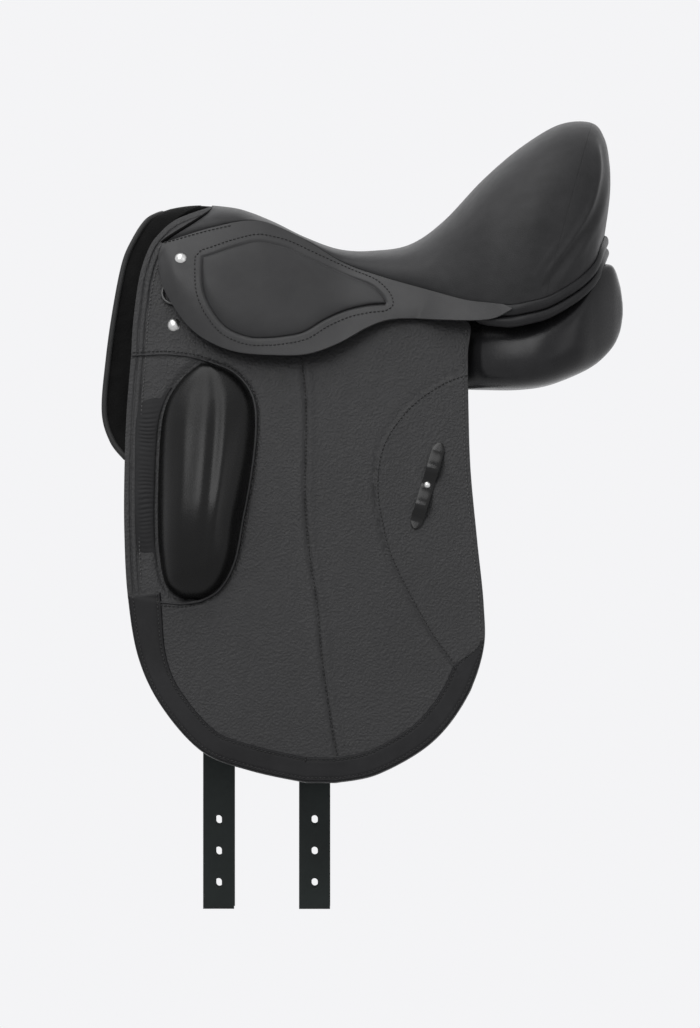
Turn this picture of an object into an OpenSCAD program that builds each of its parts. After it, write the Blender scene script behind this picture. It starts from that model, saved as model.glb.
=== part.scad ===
// Dressage saddle in millimetres: X to the rear, Y to the right, Z up.
// The origin lies on the middle line at the gullet roof, under the lowest part of the seat.

/* [Seat] */
// Height of the pommel top
pommel_h = 97; // [92:1:102]
// Height of the lowest part of the seat
dip_h = 50; // [46:1:55]
// Height of the cantle top
cantle_h = 184; // [170:1:195]
// From the origin forward to the pommel top
pommel_x = 141; // [137:1:145]
// From the origin back to the cantle
cantle_x = 265; // [260:1:270]
// Half width of the seat at its narrowest, behind the pommel
twist_half_w = 51; // [49:1:54]
// Half width of the seat at its widest
seat_half_w = 139; // [134:1:144]
// Depth of the hollow across the rear of the seat
bucket_d = 3; // [0:1:20]
// Thickness of the seat leather
cover_t = 2.5; // [1.5:0.1:3]
// Thickness of the seat foam
foam_t = 12; // [8:0.5:13]
// Thickness of the wooden tree
tree_t = 8; // [6:0.5:9]
// Thickness of the webs and the spring strips
strip_t = 1.5; // [1:0.1:2]
// Height of the bound edge under the seat
seat_welt_h = 12; // [10:0.5:14]
// Height of the roll above the rear panels
panel_welt_h = 11; // [9:0.5:13]
// Width of both rolls
welt_w = 9; // [7:0.5:11]

/* [Flap] */
// Half width of the saddle over the flaps at the origin's height
hip_half_w = 86; // [82:1:90]
// Drop of the flap below the origin
flap_drop = 491; // [460:1:520]
// From the origin forward to the flap's front edge
flap_front_x = 229.5; // [222:0.5:236]
// From the origin back to the flap's rear edge
flap_back_x = 136; // [128:1:144]
// Thickness of the flap
flap_t = 4.5; // [3:0.5:5]
// Height at which the flap bends when it is lifted
flap_bend_z = -58; // [-62:1:-58]
// Width of the sewn band along the flap's lower edge
band_w = 25; // [18:1:30]
// Thickness of that band
band_t = 1.6; // [1:0.1:2.5]

/* [Skirt] */
// Drop of the skirt below the origin
skirt_drop = 57.5; // [54:0.5:60]
// Thickness of the skirt
skirt_t = 4; // [3:0.5:5]
// Free space between the skirt and the flap over the stirrup bar
bar_space = 17; // [16:0.5:20]
// Crown of the padded patch on the skirt
pad_crown = 7; // [4:0.5:9]

/* [Panel] */
// Drop of the rear panel below the origin
panel_drop = 92; // [86:1:98]
// From the origin back to the end of the panel
panel_back_x = 277; // [272:1:282]
// Half width of the gullet between the panels
gullet_half_w = 28; // [24:1:32]
// Drop of the front lobe below the origin
lobe_drop = 162; // [150:1:175]
// From the origin forward to the lobe's front edge
lobe_front_x = 250; // [244:1:256]
// Thickness of the front lobe
lobe_t = 12; // [9:0.5:14]

/* [Knee block] */
// Height of the block along the flap
block_h = 240; // [220:1:250]
// Width of the block
block_w = 97; // [85:1:104]
// How far the block stands out from the flap
block_proud = 36; // [25:1:42]

/* [Girth straps] */
// Width of a strap
strap_w = 31.5; // [26:0.5:34]
// Thickness of a strap
strap_t = 4.2; // [3:0.1:4.5]
// Drop of the strap ends below the origin
strap_drop = 620; // [560:1:680]
// Width of an oval hole
hole_w = 6.5; // [5:0.1:8]
// Height of an oval hole
hole_h = 10.4; // [9:0.1:14]
// Distance between the holes
hole_pitch = 32; // [25:0.5:36]
// From the strap's end to its lowest hole
hole_end = 26; // [18:0.5:34]
// Holes in a strap
hole_count = 3; // [2:1:5]
// Diameter of the rivet that a strap swings on
rivet_d = 8; // [6:0.5:10]
// Radial clearance of a strap on its rivet
rivet_clear = 0.08; // [0.02:0.01:0.1]

/* [Stirrup bar] */
// Length of the bar behind its foot
bar_len = 76; // [70:1:80]
// Height of the bar
bar_h = 10; // [8:0.5:12]
// Thickness of the bar
bar_t = 5; // [4:0.5:5]
// Slot for the stirrup leather, between the bar and the flap
bar_slot = 4.4; // [4.1:0.1:4.8]
// Length of the safety catch behind its pin
catch_len = 16; // [12:1:20]
// Diameter of the catch pin
pin_d = 4; // [3:0.1:5]
// Radial clearance of the catch on its pin
pin_clear = 0.05; // [0.02:0.01:0.1]

/* [Trim] */
// Diameter of the skirt nails
skirt_nail_d = 12; // [9:0.5:14]
// Diameter of the flap nails
flap_nail_d = 13.5; // [10:0.5:15]
// Radius of a dee ring at the middle of its wire
dee_r = 11; // [9:0.5:12]
// Diameter of the dee ring's wire
dee_wire_d = 3.4; // [2.5:0.1:3.6]
// Length of a stirrup leather keeper
keeper_len = 91; // [80:1:100]
// Width of a keeper
keeper_w = 13; // [11:0.5:16]
// Thickness of a keeper
keeper_t = 2; // [1.5:0.1:2.5]
// Free height under a keeper's loops
keeper_rise = 6; // [5:0.5:8]
// Diameter of a keeper stud
stud_d = 7; // [6:0.5:8]

/* [Hidden] */
$fn = 48;

// Leather and metal colours
black_leather = [0.09, 0.09, 0.09];
soft_leather = [0.12, 0.12, 0.12];
suede = [0.07, 0.07, 0.07];
strap_leather = [0.06, 0.08, 0.08];
silver = [0.8, 0.8, 0.8];
steel = [0.5, 0.5, 0.52];
beech = [0.72, 0.55, 0.36];
foam_colour = [0.85, 0.82, 0.7];
web_colour = [0.8, 0.78, 0.7];

// Gaps between soft pieces that lie on each other, and at a bend between two bodies
lie = 0.3;
bend_gap = 0.6;

// General curves and solids

function mix(a, b, t) = a + (b - a) * t;

function clamp01(t) = min(max(t, 0), 1);

function ease(t) = let (c = clamp01(t)) c * c * (3 - 2 * c);

function unit(v) = v / norm(v);

function flatten(rows) = [for (row = rows) each row];

function steps(a, b, n) = [for (i = [0 : n]) mix(a, b, i / n)];

// One stretch of a smooth curve through four neighbouring points
function arc_between(a, b, c, d, t) =
    0.5 * (2 * b + (c - a) * t + (2 * a - 5 * b + 4 * c - d) * t * t + (3 * b - a - 3 * c + d) * t * t * t);

// The point at share t along a smooth curve through a list of points
function curve(pts, t) =
    let (last = len(pts) - 1, s = clamp01(t) * last, i = min(floor(s), last - 1))
    arc_between(pts[max(i - 1, 0)], pts[i], pts[i + 1], pts[min(i + 2, last)], s - i);

function smooth(pts, n) = [for (t = steps(0, 1, n)) curve(pts, t)];

// A closed smooth curve through a ring of points
function smooth_ring(pts, per) =
    let (n = len(pts))
    [for (i = [0 : n - 1], k = [0 : per - 1])
        arc_between(pts[(i + n - 1) % n], pts[i], pts[(i + 1) % n], pts[(i + 2) % n], k / per)];

// A curved sheet with thickness, from two grids of points: its outer and its inner face
module sheet(outer, inner) {
    n = len(outer);
    m = len(outer[0]);
    function at(k, i, j) = k * n * m + i * m + j;
    outside = [for (i = [0 : n - 2], j = [0 : m - 2])
        each [[at(0, i, j), at(0, i, j + 1), at(0, i + 1, j + 1)],
              [at(0, i, j), at(0, i + 1, j + 1), at(0, i + 1, j)]]];
    inside = [for (i = [0 : n - 2], j = [0 : m - 2])
        each [[at(1, i, j), at(1, i + 1, j + 1), at(1, i, j + 1)],
              [at(1, i, j), at(1, i + 1, j), at(1, i + 1, j + 1)]]];
    side_walls = [for (i = [0 : n - 2])
        each [[at(0, i, 0), at(0, i + 1, 0), at(1, i + 1, 0)], [at(0, i, 0), at(1, i + 1, 0), at(1, i, 0)],
              [at(0, i, m - 1), at(1, i + 1, m - 1), at(0, i + 1, m - 1)],
              [at(0, i, m - 1), at(1, i, m - 1), at(1, i + 1, m - 1)]]];
    end_walls = [for (j = [0 : m - 2])
        each [[at(0, 0, j), at(1, 0, j + 1), at(0, 0, j + 1)], [at(0, 0, j), at(1, 0, j), at(1, 0, j + 1)],
              [at(0, n - 1, j), at(0, n - 1, j + 1), at(1, n - 1, j + 1)],
              [at(0, n - 1, j), at(1, n - 1, j + 1), at(1, n - 1, j)]]];
    polyhedron(concat(flatten(outer), flatten(inner)), concat(outside, inside, side_walls, end_walls));
}

// A closed body through a row of rings, each end closed by a fan
module loft(rings) {
    n = len(rings);
    m = len(rings[0]);
    walls = [for (i = [0 : n - 2], j = [0 : m - 1])
        let (k = (j + 1) % m)
        each [[i * m + j, (i + 1) * m + j, (i + 1) * m + k], [i * m + j, (i + 1) * m + k, i * m + k]]];
    first = [for (j = [1 : m - 2]) [0, j, j + 1]];
    final = [for (j = [1 : m - 2]) [(n - 1) * m, (n - 1) * m + j + 1, (n - 1) * m + j]];
    polyhedron(flatten(rings), concat(walls, first, final));
}

// Left is the mirror of right
module on_side(side) {
    if (side == "left")
        mirror([0, 1, 0])
            children();
    else
        children();
}

// Turns +Z to the direction n at the point p
module facing(p, n) {
    translate(p)
        rotate([0, acos(n[2] / norm(n)), atan2(n[1], n[0])])
            children();
}

// The side of the saddle: the outer face of the flaps, as a half width

// Outward lean of the flap, and how much of it is lost further down
lean = 0.30;
lean_loss = 0.00009;
// Height at which both sides would meet over the withers
ridge_h = pommel_h + 3;
// The sides stand further apart towards the rear
splay = 0.11;
splay_x = -50;
splay_angle = atan(splay);

function side_half(z) = z < 0
    ? hip_half_w - lean * z - lean_loss * z * z
    : let (h = min(z, ridge_h) / ridge_h) hip_half_w * sqrt(1 - h * h) - lean * z * (1 - h);

function side_y(x, z) = side_half(z) + splay * (x - splay_x);

function side_tilt(z) = atan((side_half(z - 1) - side_half(z + 1)) / 2);

function side_point(x, z, out) = [x, side_y(x, z) + out, z];

// Places a piece on the flap: local X runs to the rear, Y outwards and Z up the flap
module on_flap(x, z) {
    translate(side_point(x, z, 0))
        rotate([side_tilt(z), 0, splay_angle])
            children();
}

// The seat: ribs that run from the middle line down to the seam on each side

// Middle line of the seat, over the cantle and down its back, as x and z
seat_middle = [
    [-pommel_x, pommel_h - 1], [-pommel_x + 29, pommel_h - 5], [-80, pommel_h - 17], [-45, dip_h + 13],
    [-10, dip_h + 1], [25, dip_h], [60, dip_h + 8], [95, dip_h + 33], [135, cantle_h - 59],
    [cantle_x - 90, cantle_h - 25], [cantle_x - 53, cantle_h - 4], [cantle_x - 19, cantle_h - 4],
    [cantle_x - 6, cantle_h - 20], [cantle_x - 1, cantle_h - 44], [cantle_x, cantle_h - 69],
    [cantle_x - 2, cantle_h - 92], [cantle_x - 2, 65]
];
// Seam round the seat, as x, half width and z
seat_seam = [
    [-pommel_x - 50, twist_half_w + 9, 57], [-pommel_x + 1, twist_half_w + 6, 73],
    [-95, twist_half_w, 79.5], [-50, twist_half_w + 2, 62], [-8, twist_half_w + 13, 37],
    [30, seat_half_w - 57, 23],
    [75, seat_half_w - 36, 10], [115, seat_half_w - 18, -1], [142, seat_half_w - 6, -4.5],
    [162, seat_half_w - 1, -6], [180, seat_half_w, -3], [199, seat_half_w - 3, 2],
    [218, seat_half_w - 11, 12], [235, seat_half_w - 24, 24], [248, seat_half_w - 42, 38],
    [cantle_x - 7, seat_half_w - 67, 53], [cantle_x + 1, 28, 65]
];
// Share of the seam's length at which the cantle's ridge, the foam and the tree's parts begin or end
ridge_u = 11 / 16;
foam_u = 0.105;
cantle_u = 14 / 32;
tree_end_u = 0.95;
// Hollow of the tree and its webs below the rider, which the foam fills up to the hollow of the cover
tree_dip = 14;
// Fullness of a rib, where 2 is an ellipse
rib_fullness = 2.3;
// Rise of a rib from which it counts as domed
dome_rise = 50;
// Depths of the layers below the leather
foam_top = cover_t + lie;
web_top = foam_top + foam_t + lie;
tree_top = web_top + strip_t + lie;
spring_top = tree_top + tree_t + lie;

function slope_of(pts, u) = unit(curve(pts, min(u + 0.01, 1)) - curve(pts, max(u - 0.01, 0)));

// A point of the seat at depth d: u runs from pommel to cantle, v from the left seam to the right.
// A layer moves inwards at the seam where the rib is domed, and down where it is flat.
function seat_point(u, v, d) =
    let (c = curve(seat_middle, u), s = curve(seat_seam, u),
         ct = slope_of(seat_middle, u), st = slope_of(seat_seam, u),
         plan = unit([st[0], st[1]]),
         cd = c + d * [ct[1], -ct[0]],
         inset = d * max(ease((c[1] - s[2]) / dome_rise), ease((u - ridge_u) / 0.02)),
         sz = s[2] - d + inset,
         sd = [s[0] + inset * plan[1], s[1] - inset * plan[0]],
         a = 90 * abs(v), e = 2 / rib_fullness,
         across = pow(sin(a), e), up = pow(max(cos(a), 0), e),
         dip = mix(bucket_d, tree_dip, ease((d - foam_top) / foam_t)),
         hollow = dip * ease((u - 0.3) / 0.12) * ease((ridge_u - u) / 0.1) * pow(1 - v * v, 2))
    [mix(cd[0], sd[0], 1 - cos(a)), sign(v) * sd[1] * across, mix(sz, cd[1], up) - hollow];

// Lines of the grid that all seat layers share, along the seat and across it
seat_us = steps(0, ridge_u, 22);
back_us = steps(ridge_u + 0.004, 1, 9);
seat_vs = steps(-1, 1, 16);

function between(list, low, high) = [for (x = list) if (x > low - 0.001 && x < high + 0.001) x];

// A layer of the seat between two depths
module seat_layer(us, vs, d0, d1) {
    sheet([for (u = us) [for (v = vs) seat_point(u, v, d0)]],
          [for (u = us) [for (v = vs) seat_point(u, v, d1)]]);
}

module seat_cover() {
    color(soft_leather)
        seat_layer(seat_us, seat_vs, 0, cover_t);
}

module cantle_back() {
    color(soft_leather)
        seat_layer(back_us, seat_vs, 0, cover_t);
}

module seat_foam() {
    color(foam_colour)
        seat_layer(between(seat_us, foam_u, ridge_u), between(seat_vs, -0.9, 0.9),
                   foam_top, foam_top + foam_t);
}

// Cross webs that carry the foam between the rails, by the grid lines they start at
web_places = [4, 7, 10, 13];

module seat_webs() {
    color(web_colour)
        for (k = web_places)
            seat_layer([seat_us[k], seat_us[k + 1]], between(seat_vs, -0.9, 0.9),
                       web_top, web_top + strip_t);
}

// Share of a rib that a rail and a spring strip take
rail_v = 0.37;
spring_v = [0.5, 0.85];

module tree_rail(side) {
    color(beech)
        on_side(side)
            seat_layer(between(seat_us, foam_u, cantle_u), between(seat_vs, rail_v, 1),
                       tree_top, tree_top + tree_t);
}

module tree_cantle() {
    color(beech)
        seat_layer(concat([cantle_u + 0.0006], between(seat_us, cantle_u + 0.01, ridge_u),
                          between(back_us, ridge_u + 0.01, tree_end_u)),
                   seat_vs, tree_top + lie, tree_top + lie + tree_t);
}

module spring_strip(side) {
    color(steel)
        on_side(side)
            seat_layer(between(seat_us, foam_u + 0.02, cantle_u - 0.04),
                       between(seat_vs, spring_v[0], spring_v[1]), spring_top, spring_top + strip_t);
}

// Where the rolls start, behind the skirts
roll_u = 0.495;

// A roll that follows the seam round the back, between two heights below the seam
module back_roll(u0, top, h, out) {
    half = [for (u = steps(u0, 1, 16)) let (s = curve(seat_seam, u), t = slope_of(seat_seam, u)) [s, t]];
    sides = concat(half, [for (i = [len(half) - 1 : -1 : 0])
        [[half[i][0][0], -half[i][0][1], half[i][0][2]], [-half[i][1][0], half[i][1][1], -half[i][1][2]]]]);
    rings = [for (k = [0 : len(sides) - 1])
        let (p = sides[k][0], t = sides[k][1], o = unit([-t[1], t[0]]),
             full = k == 0 || k == len(sides) - 1 ? 0.5 : 1)
        [for (a = [0 : 30 : 330])
            let (r = out + full * welt_w / 2 * cos(a), z = -top - h / 2 + full * h / 2 * sin(a))
            [p[0] + r * o[0], p[1] + r * o[1], p[2] + z]]];
    loft(rings);
}

module seat_welt() {
    color(black_leather)
        back_roll(roll_u, lie, seat_welt_h, 0);
}

module panel_welt() {
    color(soft_leather)
        back_roll(roll_u, seat_welt_h + 2 * lie, panel_welt_h, 0);
}

// Arches over the withers: a sheet that follows the side, up one side and down the other

// Points of one side from its lower end up to the middle line, as half width and z at the station x
function arch_side(x, z_low, out, n) =
    let (z_top = ridge_h + out - 3)
    concat([for (k = [0 : n])
                let (half = n / 2,
                     z = z_low < 0 && k < half ? mix(z_low, 0, k / half)
                                               : mix(max(z_low, 0), z_top, sin(84.6 * (k - half) / half)))
                [max(side_y(x, z) + out, 2 * (n - k) + 3), z]],
           [[0, z_top]]);

// Both sides of an arch as points in space
function arch_row(x, z_low, out, n) =
    let (half = arch_side(x, z_low, out, n))
    concat([for (p = half) [x, -p[0], p[1]]],
           [for (i = [len(half) - 2 : -1 : 0]) [x, half[i][0], half[i][1]]]);

module arch(x0, x1, z_low, out, t, n) {
    outer = [for (x = [x0, (x0 + x1) / 2, x1]) arch_row(x, z_low, out, n)];
    inner = [for (x = [x0, (x0 + x1) / 2, x1]) arch_row(x, z_low, out - t, n)];
    sheet(outer, inner);
}

// Layers inside the flap
tree_out = -11.3;
head_x = [-163, -pommel_x + 27];
point_z = -60;

module tree_head() {
    color(beech)
        difference() {
            union() {
                arch(head_x[0], head_x[1], point_z, tree_out, tree_t, 10);
                for (s = [-1, 1])
                    point_tab(s);
            }
            for (s = [-1, 1])
                strap_bore(strap_front_x, s * tab_y(strap_front_x), 3 * tree_t);
        }
}

// Flat end of the tree point that carries the front strap
module point_tab(s) {
    y = s * tab_y(strap_front_x) - (s > 0 ? tab_t : 0);
    translate([strap_front_x - strap_w / 2, y, strap_pivot_z - strap_w / 2])
        cube([strap_w, tab_t, tab_h]);
}

// Ends, lower edge and thickness of the steel plate inside the head
plate_x = [-155, -130];
plate_z = 30;
plate_t = 2.5;

module head_plate() {
    color(steel)
        arch(plate_x[0], plate_x[1], plate_z, tree_out - tree_t - lie, plate_t, 10);
}

// Front lobes of the panel, joined over the withers

// Front edge of the lobe, from its lower end up to the middle line, as x and z
lobe_edge = [
    [-lobe_front_x + 22, -lobe_drop], [-lobe_front_x + 8, -lobe_drop + 18],
    [-lobe_front_x, -lobe_drop + 48], [-lobe_front_x + 4, -61], [-lobe_front_x + 11, -10],
    [-lobe_front_x + 20, 36], [-lobe_front_x + 30, 60], [-lobe_front_x + 42, pommel_h - 19],
    [-lobe_front_x + 52, pommel_h - 12], [-lobe_front_x + 56, pommel_h - 9]
];
// Rear edge of the lobe, on the side and over the withers, and its rise to the rear there
lobe_back_x = -179;
lobe_top_x = -166;
lobe_rise = 4;
lobe_out = -flap_t - 2.5;

// A point of the lobe: s runs up the edge, c from the front edge back under the flap
function lobe_point(s, c, out) =
    let (e = curve(lobe_edge, s), over = ease((s - 0.75) / 0.25),
         x = mix(e[0], mix(lobe_back_x, lobe_top_x, over), c),
         close = pow(clamp01((s - 0.8) / 0.2), 2), y = side_y(x, e[1]) + out)
    [x, max(mix(y, 0, close), 0), e[1] + c * lobe_rise * over + (out - lobe_out) * ease((s - 0.6) / 0.3)];

module front_arch() {
    shares = steps(0, 1, 22);
    back = steps(0, 1, 3);
    outer = concat([for (s = shares) [for (c = back) lobe_point(s, c, lobe_out)]],
                   [for (i = [21 : -1 : 0]) [for (c = back)
                       let (p = lobe_point(shares[i], c, lobe_out)) [p[0], -p[1], p[2]]]]);
    inner = concat([for (s = shares) [for (c = back) lobe_point(s, c, lobe_out - lobe_t)]],
                   [for (i = [21 : -1 : 0]) [for (c = back)
                       let (p = lobe_point(shares[i], c, lobe_out - lobe_t)) [p[0], -p[1], p[2]]]]);
    color(suede)
        sheet(outer, inner);
}

// Panels: padded cushions on both sides of the gullet

// The rear of a panel is raised to meet the roll above it
panel_lift = 6;
// Sections of a panel: x, outer half width, top, bottom, lean of the section in degrees
panel_sections = [
    [-172, 62, 22, -92, 70], [-134, 68, 12, -92, 68], [-80, 74, 0, -88, 60], [-20, 84, -12, -86, 46],
    [50, 92, -22, -panel_drop + 6, 32], [112, 104, -24 + panel_lift, -panel_drop + 1, 20],
    [138, seat_half_w - 17, -23 + panel_lift, -panel_drop, 14],
    [170, seat_half_w - 5, -22 + panel_lift, -panel_drop, 11],
    [200, seat_half_w - 2, -15 + panel_lift, -panel_drop + 4, 9],
    [230, seat_half_w - 12, 2 + panel_lift, -panel_drop + 15, 7],
    [panel_back_x - 27, seat_half_w - 33, 20 + panel_lift, -panel_drop + 27, 5],
    [panel_back_x - 11, seat_half_w - 55, 28, -panel_drop + 44, 3],
    [panel_back_x - 3, seat_half_w - 70, 8, -panel_drop + 60, 0],
    [panel_back_x, seat_half_w - 78, -4, -panel_drop + 74, 0]
];
panel_fullness = 2.6;

// A leaning rounded section that fills the box between its inner and outer half width, top and bottom
function panel_ring(sec, n) =
    let (grow = ease((sec[0] + 60) / 160), inner = gullet_half_w + 3 * (1 - grow) + (sec[4] < 4 ? 14 : 0),
         yc = (sec[1] + inner) / 2, a = (sec[1] - inner) / 2,
         zc = (sec[2] + sec[3]) / 2, b = (sec[2] - sec[3]) / 2, e = 2 / panel_fullness,
         shear = 0.9 * sin(sec[4]))
    [for (k = [0 : n - 1])
        let (t = 360 * k / n,
             cy = sign(cos(t)) * pow(abs(cos(t)), e), cz = sign(sin(t)) * pow(abs(sin(t)), e))
        [sec[0], yc + a * (cy * sqrt(1 - shear * shear) - shear * cz), zc + b * cz]];

module panel(side) {
    rings = [for (t = steps(0, 1, 26)) panel_ring(curve(panel_sections, t), 18)];
    color(soft_leather)
        on_side(side)
            loft(rings);
}

// Lining that closes the gullet's roof: its half width, thickness and sag at the sides, then x and z
lining_half_w = 33.1;
lining_t = 3;
lining_sag = 6;
lining_line = [
    [-110, 32], [-60, 16], [0, lining_t], [60, -8], [120, -14], [180, -10], [225, 9], [248, 29]
];

module gullet_lining() {
    grid = function (depth) [for (p = smooth(lining_line, 16)) [for (y = [-1, 0, 1])
        [p[0], y * lining_half_w, p[1] - lining_sag * y * y - depth]]];
    color(suede)
        sheet(grid(0), grid(lining_t));
}

// Flaps

// Upper edge of the flap: up the front edge, then hidden below the seat, as x and z
head_edge = [
    [-flap_front_x + 6.5, flap_bend_z + 4], [-flap_front_x + 8.5, -24], [-flap_front_x + 14.5, 17],
    [-flap_front_x + 23.5, 45], [-flap_front_x + 34.5, 61], [-flap_front_x + 53.5, pommel_h - 21],
    [-pommel_x, pommel_h - 7], [-pommel_x + 31, 60], [-60, 14], [0, -10],
    [60, -18], [100, -21], [flap_back_x - 15, -25]
];
// Front and rear edge of the flap below its bend, with the same number of points
flap_front = [
    [-flap_front_x + 6.5, flap_bend_z], [-flap_front_x + 2, -117], [-flap_front_x, -175],
    [-flap_front_x, -235], [-flap_front_x + 3.5, -300], [-flap_front_x + 14.5, -flap_drop + 127],
    [-flap_front_x + 38.5, -flap_drop + 77], [-flap_front_x + 79.5, -flap_drop + 32],
    [-flap_front_x + 128.5, -flap_drop + 13], [-45, -flap_drop + 1]
];
flap_rear = [
    [flap_back_x - 17, flap_bend_z], [flap_back_x - 16.5, -117], [flap_back_x - 14.5, -175],
    [flap_back_x - 8, -245], [flap_back_x - 1.5, -310], [flap_back_x - 2, -flap_drop + 135],
    [flap_back_x - 20, -flap_drop + 85], [flap_back_x - 55, -flap_drop + 41],
    [flap_back_x - 108, -flap_drop + 10], [-15, -flap_drop + 1]
];

module flap_head(side) {
    columns = smooth(head_edge, 26);
    grid = function (out) [for (p = columns) [for (v = steps(0, 1, 4))
        side_point(p[0], mix(flap_bend_z, p[1], v), out)]];
    color(black_leather)
        on_side(side)
            difference() {
                sheet(grid(-flap_t), grid(0));
                on_flap(bar_x, bar_z)
                    translate([-bar_fit, -3 * flap_t, -bar_h / 2 - bar_fit])
                        cube([bar_foot + 2 * bar_fit, 6 * flap_t, bar_h + 2 * bar_fit]);
            }
}

// A point of the flap: v runs down the edges, c from the front edge to the rear
function flap_point(v, c, out) =
    let (p = mix(curve(flap_front, v), curve(flap_rear, v), c))
    side_point(p[0], p[1] - (v < 0.001 ? bend_gap : 0), out);

module flap(side) {
    rows = steps(0, 1, 28);
    grid = function (out) [for (v = rows) [for (c = steps(0, 1, 4)) flap_point(v, c, out)]];
    color(black_leather)
        on_side(side)
            sheet(grid(-flap_t), grid(0));
}

// Lower edge of the flap from the block's foot round to the rear, and the way inwards from it
band_path = concat([for (v = steps(0.5, 0.97, 14)) curve(flap_front, v)],
                   [for (v = steps(0.97, 0.56, 12)) curve(flap_rear, v)]);

function band_inset(i) =
    let (t = unit(band_path[min(i + 1, len(band_path) - 1)] - band_path[max(i - 1, 0)]))
    [-t[1], t[0]];

module flap_band(side) {
    last = len(band_path) - 1;
    grid = function (out) [for (i = [0 : last]) [for (w = [1, band_w / 2, band_w])
        let (narrow = i > last - 3 ? mix(1, 0.3, (i - last + 3) / 3) : 1,
             p = band_path[i] + w * narrow * band_inset(i))
        side_point(p[0], p[1], out)]];
    color(suede)
        on_side(side)
            sheet(grid(lie), grid(lie + band_t));
}

// Pillows: an outline that rises to a crown over a spine

// The point of the spine that is nearest to p
function nearest(spine, p) =
    let (d = spine[1] - spine[0])
    spine[0] + d * clamp01((p - spine[0]) * d / (d * d));

// Rings of points from the outline to the crown
function pillow_rings(outline, spine, ring_count) =
    [for (k = [0 : ring_count]) let (r = 0.86 * k / ring_count)
        [for (p = outline) [each mix(p, nearest(spine, p), r), sqrt(1 - pow(1 - r, 2))]]];

// The base lies under the rings and rises by a share of the crown, so it clears the curved leather below
module pillow(rings, place, lift) {
    n = len(rings);
    top = [for (ring = rings) [for (q = ring) place(q[0], q[1], q[2])]];
    base = [for (ring = rings) [for (q = ring) place(q[0], q[1], lift * q[2])]];
    lower = [for (i = [n - 1 : -1 : 1]) base[i]];
    loft(concat(lower, top));
}

// Knee block, on the outer face of the flap; its outline as shares of its width and height about its middle
block_mid = [-146, -187];
block_gap = 0.9;
block_outline = [
    [0.02, 0.5], [0.3, 0.455], [0.47, 0.36], [0.5, 0.22], [0.46, 0.02], [0.4, -0.16], [0.31, -0.32],
    [0.17, -0.45], [-0.1, -0.5], [-0.35, -0.44], [-0.48, -0.31], [-0.505, -0.1], [-0.49, 0.1],
    [-0.42, 0.32], [-0.22, 0.46]
];
block_ring = [for (p = smooth_ring(block_outline, 2)) block_mid + [p[0] * block_w, p[1] * block_h]];
block_spine = [block_mid + [0, block_h / 2 - block_w / 2], block_mid + [-5, -block_h / 2 + block_w / 2]];

module knee_block(side) {
    place = function (x, z, h) side_point(x, z, block_gap + h * block_proud + (h > 0 ? 0.5 : 0));
    color(soft_leather)
        on_side(side)
            pillow(pillow_rings(block_ring, block_spine, 6), place, 0.05);
}

// Skirts: small flaps over the stirrup bars, sewn along the seat's seam

// Columns of the skirt: share along the seam, then x, z and free space at the lower rim
skirt_columns = [
    [0.000, -194.5, 51.5, 7], [0.008, -195.5, 36, 7], [0.018, -191, 13, 7], [0.030, -179, -9, 9],
    [0.045, -164, -skirt_drop + 29, 11], [0.065, -144, -skirt_drop + 14, 13],
    [0.100, -114, -skirt_drop + 3, 15], [0.145, -74, -skirt_drop, bar_space],
    [0.190, -43, -skirt_drop + 1.5, bar_space], [0.235, -13, -skirt_drop + 12, 15],
    [0.290, 17, -29, 11], [0.330, 38, -21.5, 8], [0.370, 60, -20, 6],
    [0.430, 95, -21.5, 4], [0.480, 128, -22, 3]
];
skirt_bulge = 12;
seam_gap = 1;
pad_gap = 0.9;

// A point of the skirt's outer face: s runs along it, v from the seam down to the rim
function skirt_point(s, v, out) =
    let (col = curve(skirt_columns, s), seam = curve(seat_seam, col[0]),
         top_y = seam[1] + skirt_t + 2 * lie,
         rim_y = max(side_y(col[1], col[2]) + col[3] + skirt_t, top_y + 4),
         bulge = skirt_bulge * sin(180 * v) * ease(s / 0.2) * ease((0.8 - s) / 0.4))
    [mix(seam[0], col[1], v), mix(top_y, rim_y, v) + bulge + out, mix(seam[2] - seam_gap, col[2], v)];

// The bend of the skirt is a straight line: its height at the front end and its fall to the rear
skirt_bend_x = -190;
skirt_bend_z = 9;
skirt_fall = 0.11;

function over_bend(p) = p[2] - skirt_bend_z + skirt_fall * (p[0] - skirt_bend_x);

// Share down the skirt at which the bend crosses it, and the share that a length takes there
function bend_v(s) = let (h = over_bend(skirt_point(s, 0, 0))) h / (h - over_bend(skirt_point(s, 1, 0)));

function as_share(s, length) = length / norm(skirt_point(s, 1, 0) - skirt_point(s, 0, 0));

// Least height of a piece below the bend
tail_min = 1.5;

// The stretch of shares s over which a piece with the lower edge low(s) reaches below the bend
function tail_reach(low) =
    let (found = [for (s = steps(0, 1, 240)) if (low(s) - bend_v(s) > as_share(s, tail_min + bend_gap)) s])
    [found[0], found[len(found) - 1]];

// A skin on the skirt over the shares s, between an upper and a lower edge, with its own thickness
module skirt_layer(ss, top, low, outer, inner, nv) {
    grid = function (out) [for (s = ss) [for (v = steps(top(s), low(s), nv)) skirt_point(s, v, out(s, v))]];
    sheet(grid(outer), grid(inner));
}

function above_bend(s, low) = min(low, bend_v(s) - as_share(s, bend_gap / 2));

function below_bend(s, top) = max(top, bend_v(s) + as_share(s, bend_gap / 2));

skirt_ss = steps(0, 1, 30);
at_top = function (s) 0;
at_rim = function (s) 1;
on_face = function (s, v) 0;
on_back = function (s, v) -skirt_t;

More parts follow.
